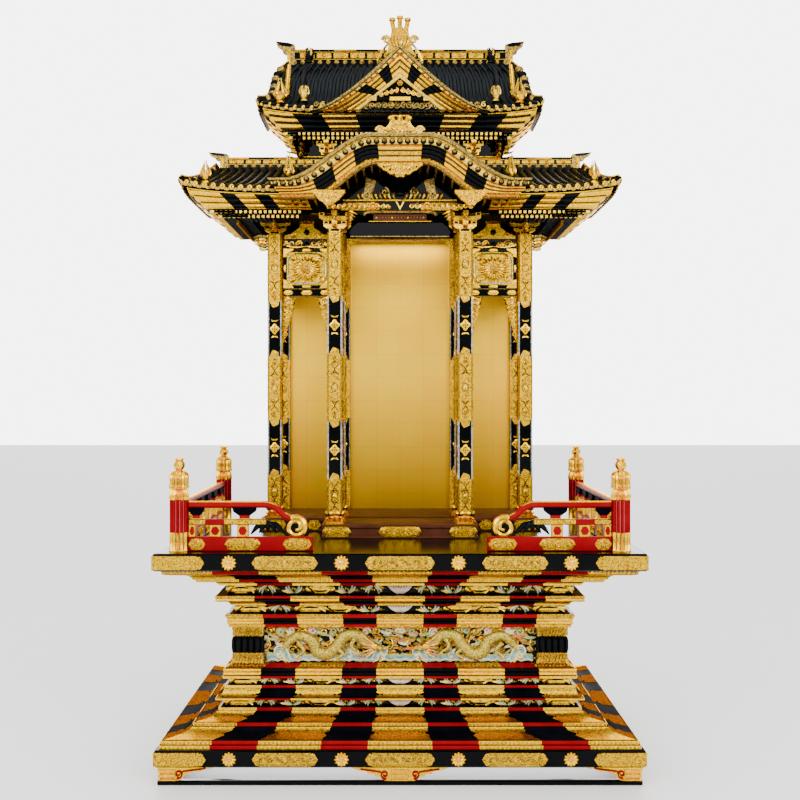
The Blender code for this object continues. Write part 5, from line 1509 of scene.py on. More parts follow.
def bay(piece, place, half):
    """Carved screen between two columns, from the spandrels up to the frog-leg strut."""
    piece.put(bar((-half, -0.012, TIE_LEVELS[0]), (half, 0.012, TIE_LEVELS[1])), BLACK, place)
    for z in (1.869, 1.901):
        piece.put(block((-half, -0.015, z), (half, 0.015, z + 0.0035)), DULL, place)
    for face in (1, -1):
        front = place @ stretch(1, face)
        for x0, x1 in ((-half, -half * 0.58), (half * 0.58, half), (-half * 0.24, half * 0.24)):
            piece.put(plate(cartouche((x1 - x0) / 2, 0.011), -0.011, -0.0155), GOLD,
                      front @ shift((x0 + x1) / 2, 0, 1.8865))
        bay_panel(piece, front, half)
        bay_frieze(piece, front, half)
        bay_spandrels(piece, front, half)
    for sx in SIGNS:
        coil(piece, (sx * (half - 0.026), 1.845, 0.015, 0.003, 1.3 * sx, 90, 16, -0.008), 0.0032, GOLD, place)
    frog_leg(piece, place, half)


def bays():
    piece = Piece("carved_bays", "painted_carving", named("{}_transom_{}", ("front", "side")))
    half = (OUTER_X - INNER_X) / 2 - 0.036
    start, end = ROW_Y + 0.036, WALL_Y - 0.022
    for sign in SIGNS:
        bay(piece, shift(sign * (INNER_X + OUTER_X) / 2, ROW_Y), half)
        bay(piece, shift(sign * OUTER_X, (start + end) / 2) @ turn("Z", 90 * sign), (end - start) / 2)
    piece.done()


def brackets(piece, place, height=0.062, wide=0.064, nose=True):
    """Bearing block, two tiers of arms with small blocks, and a carved nose towards the front."""
    h = height / 5
    piece.put(block((-0.024, -0.024, 0), (0.024, 0.024, h * 1.1)), GOLD, place)
    piece.put(bar((-0.018, -0.0255, h * 0.3), (0.018, 0.0255, h * 0.9)), BLACK, place)
    for tier, reach in ((0, wide * 0.72), (1, wide)):
        z = h * (1.1 + 2 * tier)
        arm = [(-reach, z + h), (-reach, z + 0.6 * h), (-reach * 0.72, z), (reach * 0.72, z),
               (reach, z + 0.6 * h), (reach, z + h)]
        for angle in (0, 90):
            turned = place @ turn("Z", angle)
            piece.put(prism(arm, -0.009, 0.009), WARM if tier else GOLD, turned)
            for x in (-reach + 0.011, 0, reach - 0.011):
                piece.put(block((x - 0.012, -0.012, z + h), (x + 0.012, 0.012, z + 1.9 * h)), GOLD, turned)
                piece.put(bar((x - 0.008, -0.0132, z + 1.15 * h), (x + 0.008, 0.0132, z + 1.7 * h)), BLACK,
                          turned)
    if nose:
        for k, finish in ((0, GOLD), (1, PALE)):
            leaf_stroke(piece, place, [(0, -0.03, h * (1 + 1.6 * k)), (0.002, -0.055, h * (1.2 + 1.6 * k)),
                                       (0, -0.072, h * (1.9 + 1.6 * k))], 0.008, finish, 1.0)


def rafter_row(piece, k, centre_y, length, reach, z, pitch, size, depth, skip=0.0):
    """Rafters along side k with gilded ends in the paler gold, as painted light against the shade under the
    eaves; skip leaves out the middle.
    """
    place = shift(0, centre_y) @ side_place(k)
    count = int(2 * length / pitch)
    for i in range(count + 1):
        x = -length + 2 * length * i / count
        if abs(x) < skip:
            continue
        piece.put(bar((x - size / 2, -reach, z), (x + size / 2, -reach + depth, z + size)), MATT, place)
        # The ends use the paler gold as painted light.
        piece.put(bar((x - size / 2 - 0.0008, -reach - 0.0015, z - 0.0008),
                      (x + size / 2 + 0.0008, -reach + 0.012, z + size + 0.0008)), PALE, place)


PORCH_HALF = 0.405
EAVES_HALF = 0.770
RAFTER_REACH = 0.772


def lower_eaves():
    piece = Piece("eaves_looks", "gold_leaf", ["lower_eaves"])
    low, high = corners("lower_eaves")
    base = high[2] - 0.004
    piece.put(bar((-EAVES_HALF, low[1], base), (-PORCH_HALF, high[1], high[2])), MATT)
    piece.put(bar((PORCH_HALF, low[1], base), (EAVES_HALF, high[1], high[2])), MATT)
    piece.put(bar((-PORCH_HALF, -0.045, base), (PORCH_HALF, high[1], high[2])), MATT)
    centre = (low[1] + high[1]) / 2
    half_y = (high[1] - low[1]) / 2
    for k in range(4):
        length, reach = (RAFTER_REACH, half_y) if k % 2 == 0 else (half_y, RAFTER_REACH)
        skip = PORCH_HALF if k == 0 else 0.0
        rafter_row(piece, k, centre, length, reach, base - 0.010, 0.0200, 0.009, 0.10, skip)
        rafter_row(piece, k, centre, length - 0.028, reach - 0.028, base - 0.024, 0.0200, 0.009, 0.12, skip)
        place = shift(0, centre) @ side_place(k)
        # The bar on the sides and back uses the darker gold as painted shade.
        if k:
            piece.put(bar((-length + 0.09, -reach + 0.09, base - 0.044),
                          (length - 0.09, -reach + 0.10, base - 0.026)), PAINTED_SHADE_GOLD, place)
    for x in COLUMN_XS:
        brackets(piece, shift(x, ROW_Y, COLUMN_TOP - 0.002))
    for x in (-OUTER_X, OUTER_X):
        brackets(piece, shift(x, WALL_Y - 0.03, COLUMN_TOP - 0.002), nose=False)
    for sign in SIGNS:
        brackets(piece, shift(sign * (INNER_X + OUTER_X) / 2, ROW_Y, COLUMN_TOP + 0.043), 0.030, 0.045, False)
        brackets(piece, shift(sign * OUTER_X, 0.31, COLUMN_TOP + 0.043), 0.030, 0.045, False)
    piece.put(bar((-0.232, ROW_Y - 0.013, low[2]), (0.232, ROW_Y + 0.013, base)), BLACK)
    for sign in SIGNS:
        corner = [(0, 0), (0.075, 0), (0.045, -0.012), (0.018, -0.036), (0, -0.060)]
        piece.put(plate(corner, 0.0, -0.008), CHASED,
                  shift(sign * 0.232, ROW_Y - 0.010, low[2] + 0.002) @ stretch(-sign))
    piece.put(bar((-0.232, ROW_Y - 0.015, low[2] - 0.002), (0.232, ROW_Y + 0.015, low[2] + 0.001)), DULL)
    piece.done()


# Roofs

class Roof:
    """Hipped tile roof from its eave rectangle to its top rectangle."""

    SLANT = 0.074
    SWEEP = 0.028
    PITCH = 0.037
    RIBS = 3
    BULGE = 0.007

    def __init__(self, eave, top, z_low, fascia, z_top, upright=False):
        self.eave = self.ring(*eave)
        self.top = self.ring(*top)
        half, front, back = eave
        lean = self.SLANT / 3
        self.under = self.ring(half - 0.024 - self.SLANT, front + 0.012 + lean, back - 0.012 - lean)
        self.face = self.ring(half - 0.024, front + 0.012, back - 0.012)
        self.z_low = z_low
        self.edge = z_low + fascia
        self.z_top = z_top
        self.upright = upright

    @staticmethod
    def ring(half, front, back):
        return np.array([(-half, front), (half, front), (half, back), (-half, back)], float)

    @staticmethod
    def along(ring, k, t):
        """Point at share t of side k of a rectangle."""
        return ring[k] + (ring[(k + 1) % 4] - ring[k]) * t

    def slope(self, k, t, v, lift=0.0):
        """Point on slope k: t runs along the eave, v from the eave to the ridge."""
        a = self.along(self.eave, k, t)
        b = self.along(self.top, k, t)
        inward = 0.55 * (1 - (1 - v) ** 5) + 0.45 * v ** 8 if self.upright else v
        xy = a + (b - a) * (inward, v)
        crown = self.edge + 0.018
        z = crown + (self.z_top - crown) * v ** 1.35 + self.SWEEP * abs(2 * t - 1) ** 6 * (1 - v) ** 2 + lift
        return np.array([xy[0], xy[1], z])

    def width(self, k):
        return float(np.linalg.norm(self.eave[(k + 1) % 4] - self.eave[k]))

    @staticmethod
    def spans(skip):
        return [(0.0, 1.0)] if skip is None else [(0.0, skip[0]), (skip[1], 1.0)]

    def tiles(self, piece, k, skip=None):
        """Pan tiles as one thin shell and roll tiles over it, with gilded round ends."""
        levels = np.linspace(0.0, 1, 9)
        for a, b in self.spans(skip):
            rows = []
            for t in np.linspace(a, b, 25):
                upper = [self.slope(k, t, v) for v in levels]
                rows.append(upper + [p - (0, 0, 0.008) for p in upper[::-1]])
            piece.put(capped(rows), TILE)
        count = int(self.width(k) / self.PITCH)
        for i in range(count + 1):
            t = (i + 0.5) / (count + 1)
            if skip is not None and skip[0] < t < skip[1]:
                continue
            path = [self.slope(k, t, v, 0.003) for v in np.linspace(0.0, 1, 12)]
            piece.put(tube(path, 0.0115, 6, 1.0, UP), TILE)
            end = shift(*path[0]) @ turn("Z", 90 * k)
            piece.put(dome(0.012, 0.004, 10), GOLD, end)
            piece.put(dome(0.005, 0.007, 6), DULL, end)
            if i < count:
                between = self.slope(k, (i + 1.0) / (count + 1), 0.0, -0.008)
                sag = [(-0.014, 0.002), (-0.007, -0.003), (0, -0.005), (0.007, -0.003), (0.014, 0.002),
                       (0.014, 0.008), (-0.014, 0.008)]
                piece.put(prism(sag, -0.003, 0.003), DULL, shift(*between) @ turn("Z", 90 * k))

    def fascia(self, piece, k, cells):
        """Slanting eave boards: ribs along side k, cut into gold and black cells."""
        normal = np.array([(0, -1), (1, 0), (0, 1), (-1, 0)][k], float)
        levels = np.linspace(0, 1, 4 * self.RIBS + 1)
        for a, b, finish in cells:
            rows = []
            proud = 0.0015 if finish is not BLACK else 0.0
            shade = MATT if finish is BLACK and k % 2 else finish
            for t in np.linspace(a, b, max(2, int((b - a) * 30) + 2)):
                ring = []
                for v in levels:
                    low = self.along(self.under, k, t)
                    high = self.along(self.face, k, t)
                    out = self.BULGE * abs(math.sin(self.RIBS * math.pi * v)) + proud
                    xy = low + (high - low) * v + normal * out
                    z = self.z_low + (self.edge - self.z_low) * v + self.SWEEP * 0.8 * abs(2 * t - 1) ** 6 * v
                    ring.append((xy[0], xy[1], z))
                back = [(x - normal[0] * 0.02, y - normal[1] * 0.02, z) for x, y, z in (ring[-1], ring[0])]
                rows.append(ring + back)
            piece.put(capped(rows), shade)
            if finish is BLACK:
                continue
            # Black lines between the ribs of the gold cells are painted shade in the grooves.
            for groove in range(1, self.RIBS):
                line = [row[4 * groove] for row in rows]
                piece.put(tube(line, 0.0026, 5, 1.0, UP), BLACK)

    def lip(self, piece, k, skip=None):
        """Gold line under the tile ends."""
        for a, b in self.spans(skip):
            path = []
            for t in np.linspace(a, b, 30):
                xy = self.along(self.face, k, t)
                path.append((xy[0], xy[1], self.edge + 0.001 + self.SWEEP * 0.85 * abs(2 * t - 1) ** 6))
            piece.put(tube(path, 0.0038, 6, 1.0, UP), GOLD)

    def hip(self, piece, k):
        """Ridge over the corner before side k, with a gilded horn at its foot."""
        path = [self.slope(k, 0.0, v, 0.010) for v in np.linspace(0.0, 1.0, 12)]
        piece.put(tube(path, 0.016, 8, 1.2, UP), BLACK)
        piece.put(tube([p + (0, 0, 0.018) for p in path], 0.006, 6, 1.0, UP), GOLD)
        for i in range(2, 11):
            for face in (90 * k, 90 * k - 90):
                piece.put(dome(0.017, 0.010, 8), (DULL, BLACK)[i % 2],
                          shift(*path[i]) @ turn("Z", face) @ shift(0, -0.012))
        tip = self.slope(k, 0.0, 0.0)
        away = np.array([np.sign(tip[0]), np.sign(tip[1] - self.eave[:, 1].mean()), 0.0])
        inward = tip - away * 0.035
        piece.put(tube([inward, tip - (0, 0, 0.002), tip + away * (0.010, 0.004, 0) + (0, 0, 0.012)],
                       [0.012, 0.009, 0.004], 6, 1.0, UP), PALE)


def finial_spots(roof, share, v):
    """Places for the four finials that stand on the slopes beside the hips."""
    return [roof.slope(k, t, v, 0.008) for k in (0, 2) for t in (share, 1 - share)]


def flame(piece, place, height, finish=GOLD):
    """Gilded finial: lotus foot, jewel and rising flames."""
    piece.put(lathe(((0.006, 0.0), (0.017, 0.004), (0.013, 0.012), (0.018, 0.020), (0.020, 0.032),
                     (0.012, 0.044), (0.004, 0.056)), 12), finish, place)
    for i in range(6):
        a = i * math.pi / 3
        c, s = math.cos(a), math.sin(a)
        lick = curve([(0.012 * c, 0.012 * s, 0.03), (0.020 * c, 0.020 * s, 0.045),
                      (0.012 * c, 0.012 * s, 0.07), (0.004 * c, 0.004 * s,
                                                     height * (0.85 + 0.15 * (i % 2)))], 8)
        piece.put(tube(lick, np.linspace(0.006, 0.001, 8), 5, 1.0, (0, 1, 0.01)), (finish, PALE)[i % 2],
                  place)


def ridge(name, node, half, bar_cells):
    """Ridge of scalloped tiles, an arabesque band and a barred top, with beaked ends."""
    piece = Piece(name, "black_lacquer", [node])
    low, high = corners(node)
    y = (low[1] + high[1]) / 2
    z = low[2]
    body = (high[2] - low[2]) / 1.5
    thick = (high[1] - low[1]) / 2 - 0.006
    piece.put(bar((-half, y - thick, z), (half, y + thick, z + body * 0.92)), BLACK)
    count = int(2 * half / 0.0375)
    for face in (1, -1):
        front = shift(0, y, z) @ stretch(1, face)
        for i in range(count):
            x = -half + 2 * half * (i + 0.5) / count
            piece.put(dome(0.012, 0.006, 10), DULL, front @ shift(x, -thick, body * 0.16))
            piece.put(dome(0.0055, 0.010, 6), GOLD, front @ shift(x, -thick, body * 0.16))
        piece.put(block((-half, -thick - 0.003, body * 0.32), (half, -thick + 0.002, body * 0.37)), PALE,
                  front)
        for i in range(int(half / 0.075)):
            for sx in SIGNS:
                a = 0.075 * i + 0.006
                finish = CHASED if i % 2 else WARM
                piece.put(block((sx * a if sx > 0 else -a - 0.066, -thick - 0.003, body * 0.41),
                                (sx * a + 0.066 if sx > 0 else -a, -thick + 0.002, body * 0.76)), finish,
                          front)
                coil(piece, (sx * (a + 0.033), body * 0.58, body * 0.15, 0.002, 1.4, 90 * i, 14,
                             -thick - 0.004), 0.0022, GOLD, front, sides=4)
        piece.put(block((-half, -thick - 0.004, body * 0.78), (half, -thick + 0.002, body * 0.82)), PALE,
                  front)
    for i in range(bar_cells):
        a = -half + 2 * half * i / bar_cells
        b = -half + 2 * half * (i + 1) / bar_cells
        path = [(a, y, z + body * 0.92), ((a + b) / 2, y, z + body * 0.92), (b, y, z + body * 0.92)]
        piece.put(tube(path, 0.0085, 8, 1.9), (GOLD, BLACK)[i % 2])
    for sign in SIGNS:
        place = stretch(sign) @ shift(half, y, z)
        beak = [(-0.02, -0.01), (0.014, -0.01), (0.014, body * 0.70), (0.034, body * 0.84),
                (0.038, body * 1.05), (0.058, body * 1.24), (0.065, body * 1.48), (0.010, body * 1.40),
                (-0.02, body * 1.28)]
        piece.put(prism(beak, -thick - 0.006, thick + 0.006), DULL, place)
        cap = [(0.0, body * 1.12), (0.040, body * 1.20), (0.062, body * 1.44), (0.010, body * 1.37),
               (-0.016, body * 1.26)]
        piece.put(prism(cap, -thick - 0.009, thick + 0.009), BLACK, place)
        piece.put(block((-0.004, -thick - 0.008, -0.012), (0.014, thick + 0.008, body * 0.95)), CHASED, place)
    piece.done()


def cells_from(shares, finishes):
    """Cells for t in 0..1 from shares of the half width, mirrored about the middle."""
    out = []
    for (a, b), finish in zip(zip(shares, shares[1:]), finishes):
        out.append((0.5 + a / 2, 0.5 + b / 2, finish))
        out.append((0.5 - b / 2, 0.5 - a / 2, finish))
    return out


def lower_roof():
    low, high = corners("lower_roof")
    piece = Piece("lower_roof_looks", "roof_tile", ["lower_roof"])
    eave_half, ridge_half, fascia = 0.885, 0.80, 0.0555
    roof = Roof((eave_half, low[1], high[1]), (ridge_half, 0.145, 0.400), low[2], fascia, high[2] - 0.012)
    cut = 0.40 / (2 * eave_half)
    notch = (0.5 - cut, 0.5 + cut)
    front = cells_from((0.46, 0.62, 0.693, 0.785, 0.858, 1.0), (GOLD, BLACK, GOLD, BLACK, GOLD))
    side = cells_from((0.0, 0.16, 0.36, 0.56, 0.70, 0.94, 1.0), (GOLD, BLACK, GOLD, BLACK, BLACK, GOLD))
    back = cells_from((0.0, 0.12, 0.24, 0.36, 0.48, 0.60, 0.72, 0.84, 1.0), (GOLD, BLACK) * 4)
    for k in range(4):
        roof.tiles(piece, k, notch if k == 0 else None)
        roof.fascia(piece, k, (front, side, back, side)[k])
        roof.lip(piece, k, notch if k == 0 else None)
        roof.hip(piece, k)
    piece.put(bar((-ridge_half, 0.143, high[2] - 0.012), (ridge_half, 0.400, high[2] - 0.001)), BLACK)
    piece.put(bar((-EAVES_HALF, low[1] + 0.06, low[2]), (-PORCH_HALF, high[1] - 0.06, low[2] + 0.05)), BLACK)
    piece.put(bar((PORCH_HALF, low[1] + 0.06, low[2]), (EAVES_HALF, high[1] - 0.06, low[2] + 0.05)), BLACK)
    piece.put(bar((-PORCH_HALF, -0.04, low[2]), (PORCH_HALF, high[1] - 0.06, low[2] + 0.05)), BLACK)
    for spot in finial_spots(roof, 0.045, 0.14):
        flame(piece, shift(*spot), 0.100)
    for sign in SIGNS:
        flame(piece, shift(sign * 0.475, 0.06, high[2] - 0.075), 0.12)
    piece.done()


# Curved porch gable

GABLE_BASE = corners("porch_gable")[0][2] - 0.018
GABLE_Y = corners("porch_gable")[0][1]
GABLE_RIBS = 3


def ease(t):
    t = min(max(t, 0.0), 1.0)
    return t * t * (3 - 2 * t)


def gable_point(u, share):
    """(x, z) across the curved gable, share running from its top edge to its lower edge."""
    x = 0.524 * u
    inner = 0.461 * u
    top = GABLE_BASE + 0.096 + 0.178 * (1 - ease((abs(u) - 0.22) / 0.66))
    under = GABLE_BASE + 0.018 + 0.137 * (1 - ease((abs(u) - 0.2) / 0.545))
    return x + (inner - x) * share, top + (under - top) * share


def band(piece, point, steps, u0, u1, s0, s1, y, bulge, finish, back=0.012):
    """Moulded strip along a gable from u0 to u1, between two shares of its boards."""
    rows = []
    for u in np.linspace(u0, u1, max(3, int(abs(u1 - u0) * steps))):
        ring = []
        for v in np.linspace(0, 1, 5):
            x, z = point(u, s0 + (s1 - s0) * v)
            ring.append((x, y - bulge * math.sin(math.pi * v), z))
        for v in (1, 0):
            x, z = point(u, s0 + (s1 - s0) * v)
            ring.append((x, y + back, z))
        rows.append(ring)
    piece.put(capped(rows), finish)


def gable_band(piece, *strip):
    """Strip along the curved porch gable."""
    band(piece, gable_point, 40, *strip)


def dormer_band(piece, *strip):
    """Strip along the front gable of the upper roof."""
    band(piece, dormer_point, 24, *strip)


def grooves(piece, point, ends, shares, y):
    """Dark lines between the ribs of a gable's boards, painted as shade in the grooves."""
    for share in shares:
        line = []
        for u in np.linspace(*ends, 16):
            x, z = point(u, share)
            line.append((x, y, z))
        piece.put(tube(line, 0.0032, 5), BROWN)


def pendant_outline(half, height, lobes):
    """Scalloped fish pendant hanging from z=0."""
    loop = [(half, 0.0)]
    for i in range(lobes * 6 + 1):
        s = i / (lobes * 6)
        x = half * (1 - 2 * s)
        depth = height * (1 - abs(x / half) ** 1.5) * 0.82 + height * 0.16
        loop.append((x, -depth * (1 - 0.10 * abs(math.sin(lobes * math.pi * s)))))
    return loop + [(-half, 0.0)]


def gable_boards(piece, y):
    """Ribbed boards of the curved gable in gold and black cells, between two lips."""
    gable_band(piece, -1, 1, 0.0, 0.12, y - 0.004, 0.004, DULL, 0.03)
    gable_band(piece, -1, 1, 0.12, 0.37, y + 0.004, 0.003, PALE, 0.03)
    cells = ((0.0, 0.175, GOLD), (0.175, 0.37, BLACK), (0.37, 0.534, GOLD), (0.534, 0.69, BLACK),
             (0.69, 1.0, GOLD))
    for a, b, finish in cells:
        for sign in SIGNS:
            proud = 0.0015 if finish is GOLD else 0.0
            inner = 0.80 if a else 0.93
            shares = [0.38 + (inner - 0.38) * i / GABLE_RIBS for i in range(GABLE_RIBS + 1)]
            for i in range(GABLE_RIBS):
                tone = WARM if a == 0 and i == 1 else finish
                gable_band(piece, sign * a, sign * b, shares[i], shares[i + 1], y + 0.014 - proud, 0.006,
                           tone)
            # Dark lines between the ribs of the gold cells are painted shade.
            if finish is GOLD:
                grooves(piece, gable_point, (sign * a, sign * b), shares[1:-1], y + 0.011)
            if a:
                gable_band(piece, sign * a, sign * b, 0.80, 0.93, y + 0.022, 0.002, CHASED)
    gable_band(piece, -1, 1, 0.93, 1.0, y + 0.018, 0.004, DULL, 0.02)


def gable_beads(piece, y):
    """Beads, studs and a row of curls along the curved gable."""
    steps = 33
    for i in range(steps):
        u = -0.97 + 1.94 * i / (steps - 1)
        x, z = gable_point(u, 0.26)
        piece.put(dome(0.0125, 0.004, 12), BLACK, shift(x, y + 0.001, z - 0.002))
        piece.put(dome(0.0095, 0.008, 10), DULL, shift(x, y, z + 0.002))
        if i < steps - 1:
            xa, za = gable_point(u + 0.97 / (steps - 1), 0.17)
            piece.put(dome(0.006, 0.004, 6), GOLD, shift(xa, y + 0.001, za))
    for i in range(60):
        u = -0.98 + 1.96 * i / 59
        if abs(u) < 0.18:
            continue
        x, z = gable_point(u, 0.865)
        coil(piece, (x, z, 0.008, 0.002, 1.2 if i % 2 else -1.2, 90 * i, 10, y + 0.020), 0.0018, GOLD,
             sides=4)


def gable_tiles(piece, y):
    """Tiles that run back from the curved gable, and the rafters under it."""
    roof_end = 0.140
    for i in range(29):
        rows = []
        u0, u1 = -1 + 2 * i / 29, -1 + 2 * (i + 1) / 29
        for depth_share in np.linspace(0, 1, 6):
            yy = y + (roof_end - y) * depth_share
            ring = []
            for u in (u0, (u0 + u1) / 2, u1):
                x, z = gable_point(u, 0.02)
                ring.append((x, yy, z - 0.002))
            ring += [(px, yy, pz - 0.010) for px, _, pz in ring[::-1]]
            rows.append(ring)
        piece.put(capped(rows), TILE)
        x, z = gable_point((u0 + u1) / 2, 0.0)
        roll = [(x, y + 0.012, z - 0.001), (x, (y + roof_end) / 2, z - 0.001), (x, roof_end, z - 0.001)]
        piece.put(tube(roll, 0.009, 6, 1.0, UP), TILE)
    for i in range(28):
        u = -0.95 + 1.9 * i / 27
        x, z = gable_point(u, 1.0)
        piece.put(bar((x - 0.006, y + 0.03, z + 0.004), (x + 0.006, -0.055, z + 0.016)), BLACK)
        piece.put(bar((x - 0.0045, y + 0.05, z + 0.0005), (x + 0.0045, -0.06, z + 0.005)), WARM)


def gable_pendants(piece, y):
    """Middle pendant and one on each side."""
    centre = pendant_outline(0.092, 0.064, 7)
    place = shift(0, y + 0.010, gable_point(0, 1.0)[1] + 0.004)
    piece.put(plate(centre, 0.010, -0.004, 0.92), CHASED, place)
    for sx in SIGNS:
        for x, z, r in ((0.026, -0.020, 0.013), (0.055, -0.012, 0.010), (0.014, -0.044, 0.009)):
            coil(piece, (sx * x, z, r, 0.002, 1.3 * sx, 90, 16, -0.007), 0.0028, GOLD, place)
            piece.put(dome(0.004, 0.003, 8), BLACK, place @ shift(sx * (x + r), -0.006, z - r * 0.6))
        end = shift(sx * 0.281, y + 0.012, GABLE_BASE + 0.052)
        piece.put(plate(pendant_outline(0.066, 0.070, 5), 0.010, -0.003, 0.92), CHASED, end)
        for x, z, r in ((0.022, -0.022, 0.012), (-0.024, -0.018, 0.012), (0.0, -0.045, 0.010)):
            coil(piece, (x, z, r, 0.002, 1.3, 90, 16, -0.006), 0.0028, GOLD, end)


def porch_gable():
    piece = Piece("porch_gable_looks", "black_lacquer", ["porch_gable"])
    gable_boards(piece, GABLE_Y)
    gable_beads(piece, GABLE_Y)
    gable_tiles(piece, GABLE_Y)
    gable_pendants(piece, GABLE_Y)
    piece.done()


def crest(piece, place, width, height, prongs):
    """Shell-shaped mound with side curls under a three-pronged crown."""
    w, h = width / 2, height
    mound = [(-w, 0.0), (-0.98 * w, 0.14 * h), (-0.80 * w, 0.26 * h), (-0.62 * w, 0.30 * h),
             (-0.50 * w, 0.46 * h), (-0.42 * w, 0.66 * h), (0.42 * w, 0.66 * h), (0.50 * w, 0.46 * h),
             (0.62 * w, 0.30 * h), (0.80 * w, 0.26 * h), (0.98 * w, 0.14 * h), (w, 0.0)]
    piece.put(plate(mound, 0.014, -0.012, 0.9), GOLD, place)
    for sx in SIGNS:
        coil(piece, (sx * 0.82 * w, 0.16 * h, 0.19 * w, 0.05 * w, 1.3 * sx, 90 - 90 * sx, 20, -0.014),
             0.0055, PALE, place, sides=6)
        coil(piece, (sx * 0.26 * w, 0.30 * h, 0.18 * w, 0.03 * w, 1.3 * sx, 90, 16, -0.014), 0.0038, CHASED,
             place)
        for i in range(4):
            leaf = curve([(sx * 0.12 * i * w, -0.013, 0.05 * h),
                          (sx * (0.06 + 0.17 * i) * w, -0.017, 0.16 * h),
                          (sx * (0.10 + 0.20 * i) * w, -0.012, 0.30 * h)], 7)
            piece.put(tube(leaf, 0.0036, 5, 1.2), (PALE, GOLD)[i % 2], place)
    for x, top in ((-0.34, 0.95), (0.0, 1.0), (0.34, 0.95)):
        stalk = curve([(x * w * 0.8, 0, 0.50 * h), (x * w * 0.95, -0.004, 0.72 * h),
                       (x * w * 1.15, 0, top * h - prongs)], 7)
        piece.put(tube(stalk, np.linspace(0.014, 0.010, 7), 7), CHASED, place)
        piece.put(lathe(((0.002, -1.6 * prongs), (prongs * 1.35, -prongs * 0.9),
                         (prongs * 1.35, 0.2 * prongs), (0.001, prongs)), 10), GOLD,
                  place @ shift(x * w * 1.15, 0, top * h - prongs))


def porch_crest():
    piece = Piece("porch_crest_looks", "gold_leaf", ["porch_crest"])
    low, high = corners("porch_crest")
    crest(piece, shift(0, (low[1] + high[1]) / 2, low[2]), 0.19, high[2] - low[2], 0.008)
    piece.done()


def porch_front_half(piece, y, sx):
    """Carving of the tympanum, rainbow beam and bracket set on one side."""
    post = [(sx * 0.150, 2.245), (sx * 0.120, 2.245), (sx * 0.098, 2.322), (sx * 0.140, 2.335)]
    piece.put(prism(post, y - 0.004, y + 0.008), DULL)
    for i in range(9):
        x = 0.02 + 0.018 * i
        leaf_stroke(piece, np.eye(4), [(sx * x, y, 2.246), (sx * (x + 0.008), y - 0.006, 2.262),
                                       (sx * (x + 0.002), y, 2.276 + 0.008 * (i % 2))], 0.006,
                    (DULL, PALE, CHASED)[i % 3])
    coil(piece, (sx * 0.062, 2.275, 0.020, 0.003, 1.5 * sx, 90, 22, y - 0.006), 0.004, DULL)
    for i in range(12):
        x = 0.05 + 0.022 * i
        coil(piece, (sx * x, 2.216, 0.012, 0.002, 1.4 * sx, 70 * i, 14, y - 0.010), 0.0036,
             (GOLD, PALE)[i % 2])
    piece.put(rosette(0.021, 10, 0.012), GOLD, shift(sx * 0.112, y - 0.006, 2.216))
    piece.put(plate(cartouche(0.085, 0.017), 0.006, -0.005), CHASED, shift(sx * 0.165, y, 2.216))
    for i in range(6):
        leaf_stroke(piece, np.eye(4), [(sx * 0.222, y, 2.200 - 0.012 * i),
                                       (sx * 0.205, y - 0.008, 2.196 - 0.012 * i),
                                       (sx * (0.176 + 0.008 * i), y, 2.184 - 0.012 * i)], 0.006,
                    (GOLD, CHASED, PALE)[i % 3])
    brackets(piece, shift(sx * INNER_X, PORCH_Y, PORCH_TOP - 0.001), 0.085, 0.066)


def porch_front():
    """Tympanum, rainbow beam and lintel between the porch columns."""
    piece = Piece("porch_front_looks", "black_lacquer", ["porch_front"])
    board = []
    for u in np.linspace(-0.8, 0.8, 33):
        x, z = gable_point(u, 1.0)
        board.append((x, z - 0.001))
    base = 2.190
    loop = [(board[0][0], base)] + board + [(board[-1][0], base)]
    piece.put(prism(loop, PORCH_Y - 0.004, PORCH_Y + 0.018), BLACK)
    y = PORCH_Y - 0.012
    for sx in SIGNS:
        porch_front_half(piece, y, sx)
    piece.put(block((-0.235, y - 0.002, 2.238), (0.235, y + 0.012, 2.246)), CHASED)
    piece.put(block((-0.018, y - 0.010, 2.262), (0.018, y, 2.290), 0.003), BLACK)
    piece.put(block((-0.23, y, 2.197), (0.23, y + 0.016, 2.236)), BLACK)
    vee = [(-0.018, 2.236), (0.0, 2.202), (0.018, 2.236), (0.012, 2.236), (0.0, 2.213), (-0.012, 2.236)]
    piece.put(prism(vee, y - 0.006, y + 0.002), GOLD)
    piece.put(tube(curve([(-0.150, y, 2.180), (-0.140, y, 2.192), (-0.10, y, 2.195), (0.10, y, 2.195),
                          (0.140, y, 2.192), (0.150, y, 2.180)], 30), 0.0075, 8, 1.6), DULL)
    piece.put(block((-0.110, y + 0.004, 2.158), (0.110, y + 0.012, 2.186)), BROWN)
    for i in range(16):
        x = -0.097 + 0.1941 * i / 15
        big = i in (0, 5, 10, 15)
        piece.put(dome(0.0042 if big else 0.002, 0.003, 8), PALE, shift(x, y + 0.004, 2.172))
    piece.put(block((-0.13, y + 0.002, 2.154), (0.13, y + 0.014, 2.158)), GOLD)
    piece.put(prism([(-0.205, 2.098), (0.205, 2.098), (0.205, 2.128), (0.175, 2.153), (-0.175, 2.153),
                     (-0.205, 2.128)], y + 0.020, y + 0.030), BLACK)
    piece.put(bar((-0.205, y + 0.018, 2.095), (0.205, y + 0.030, 2.098)), DULL)
    piece.done()


# Upper storey

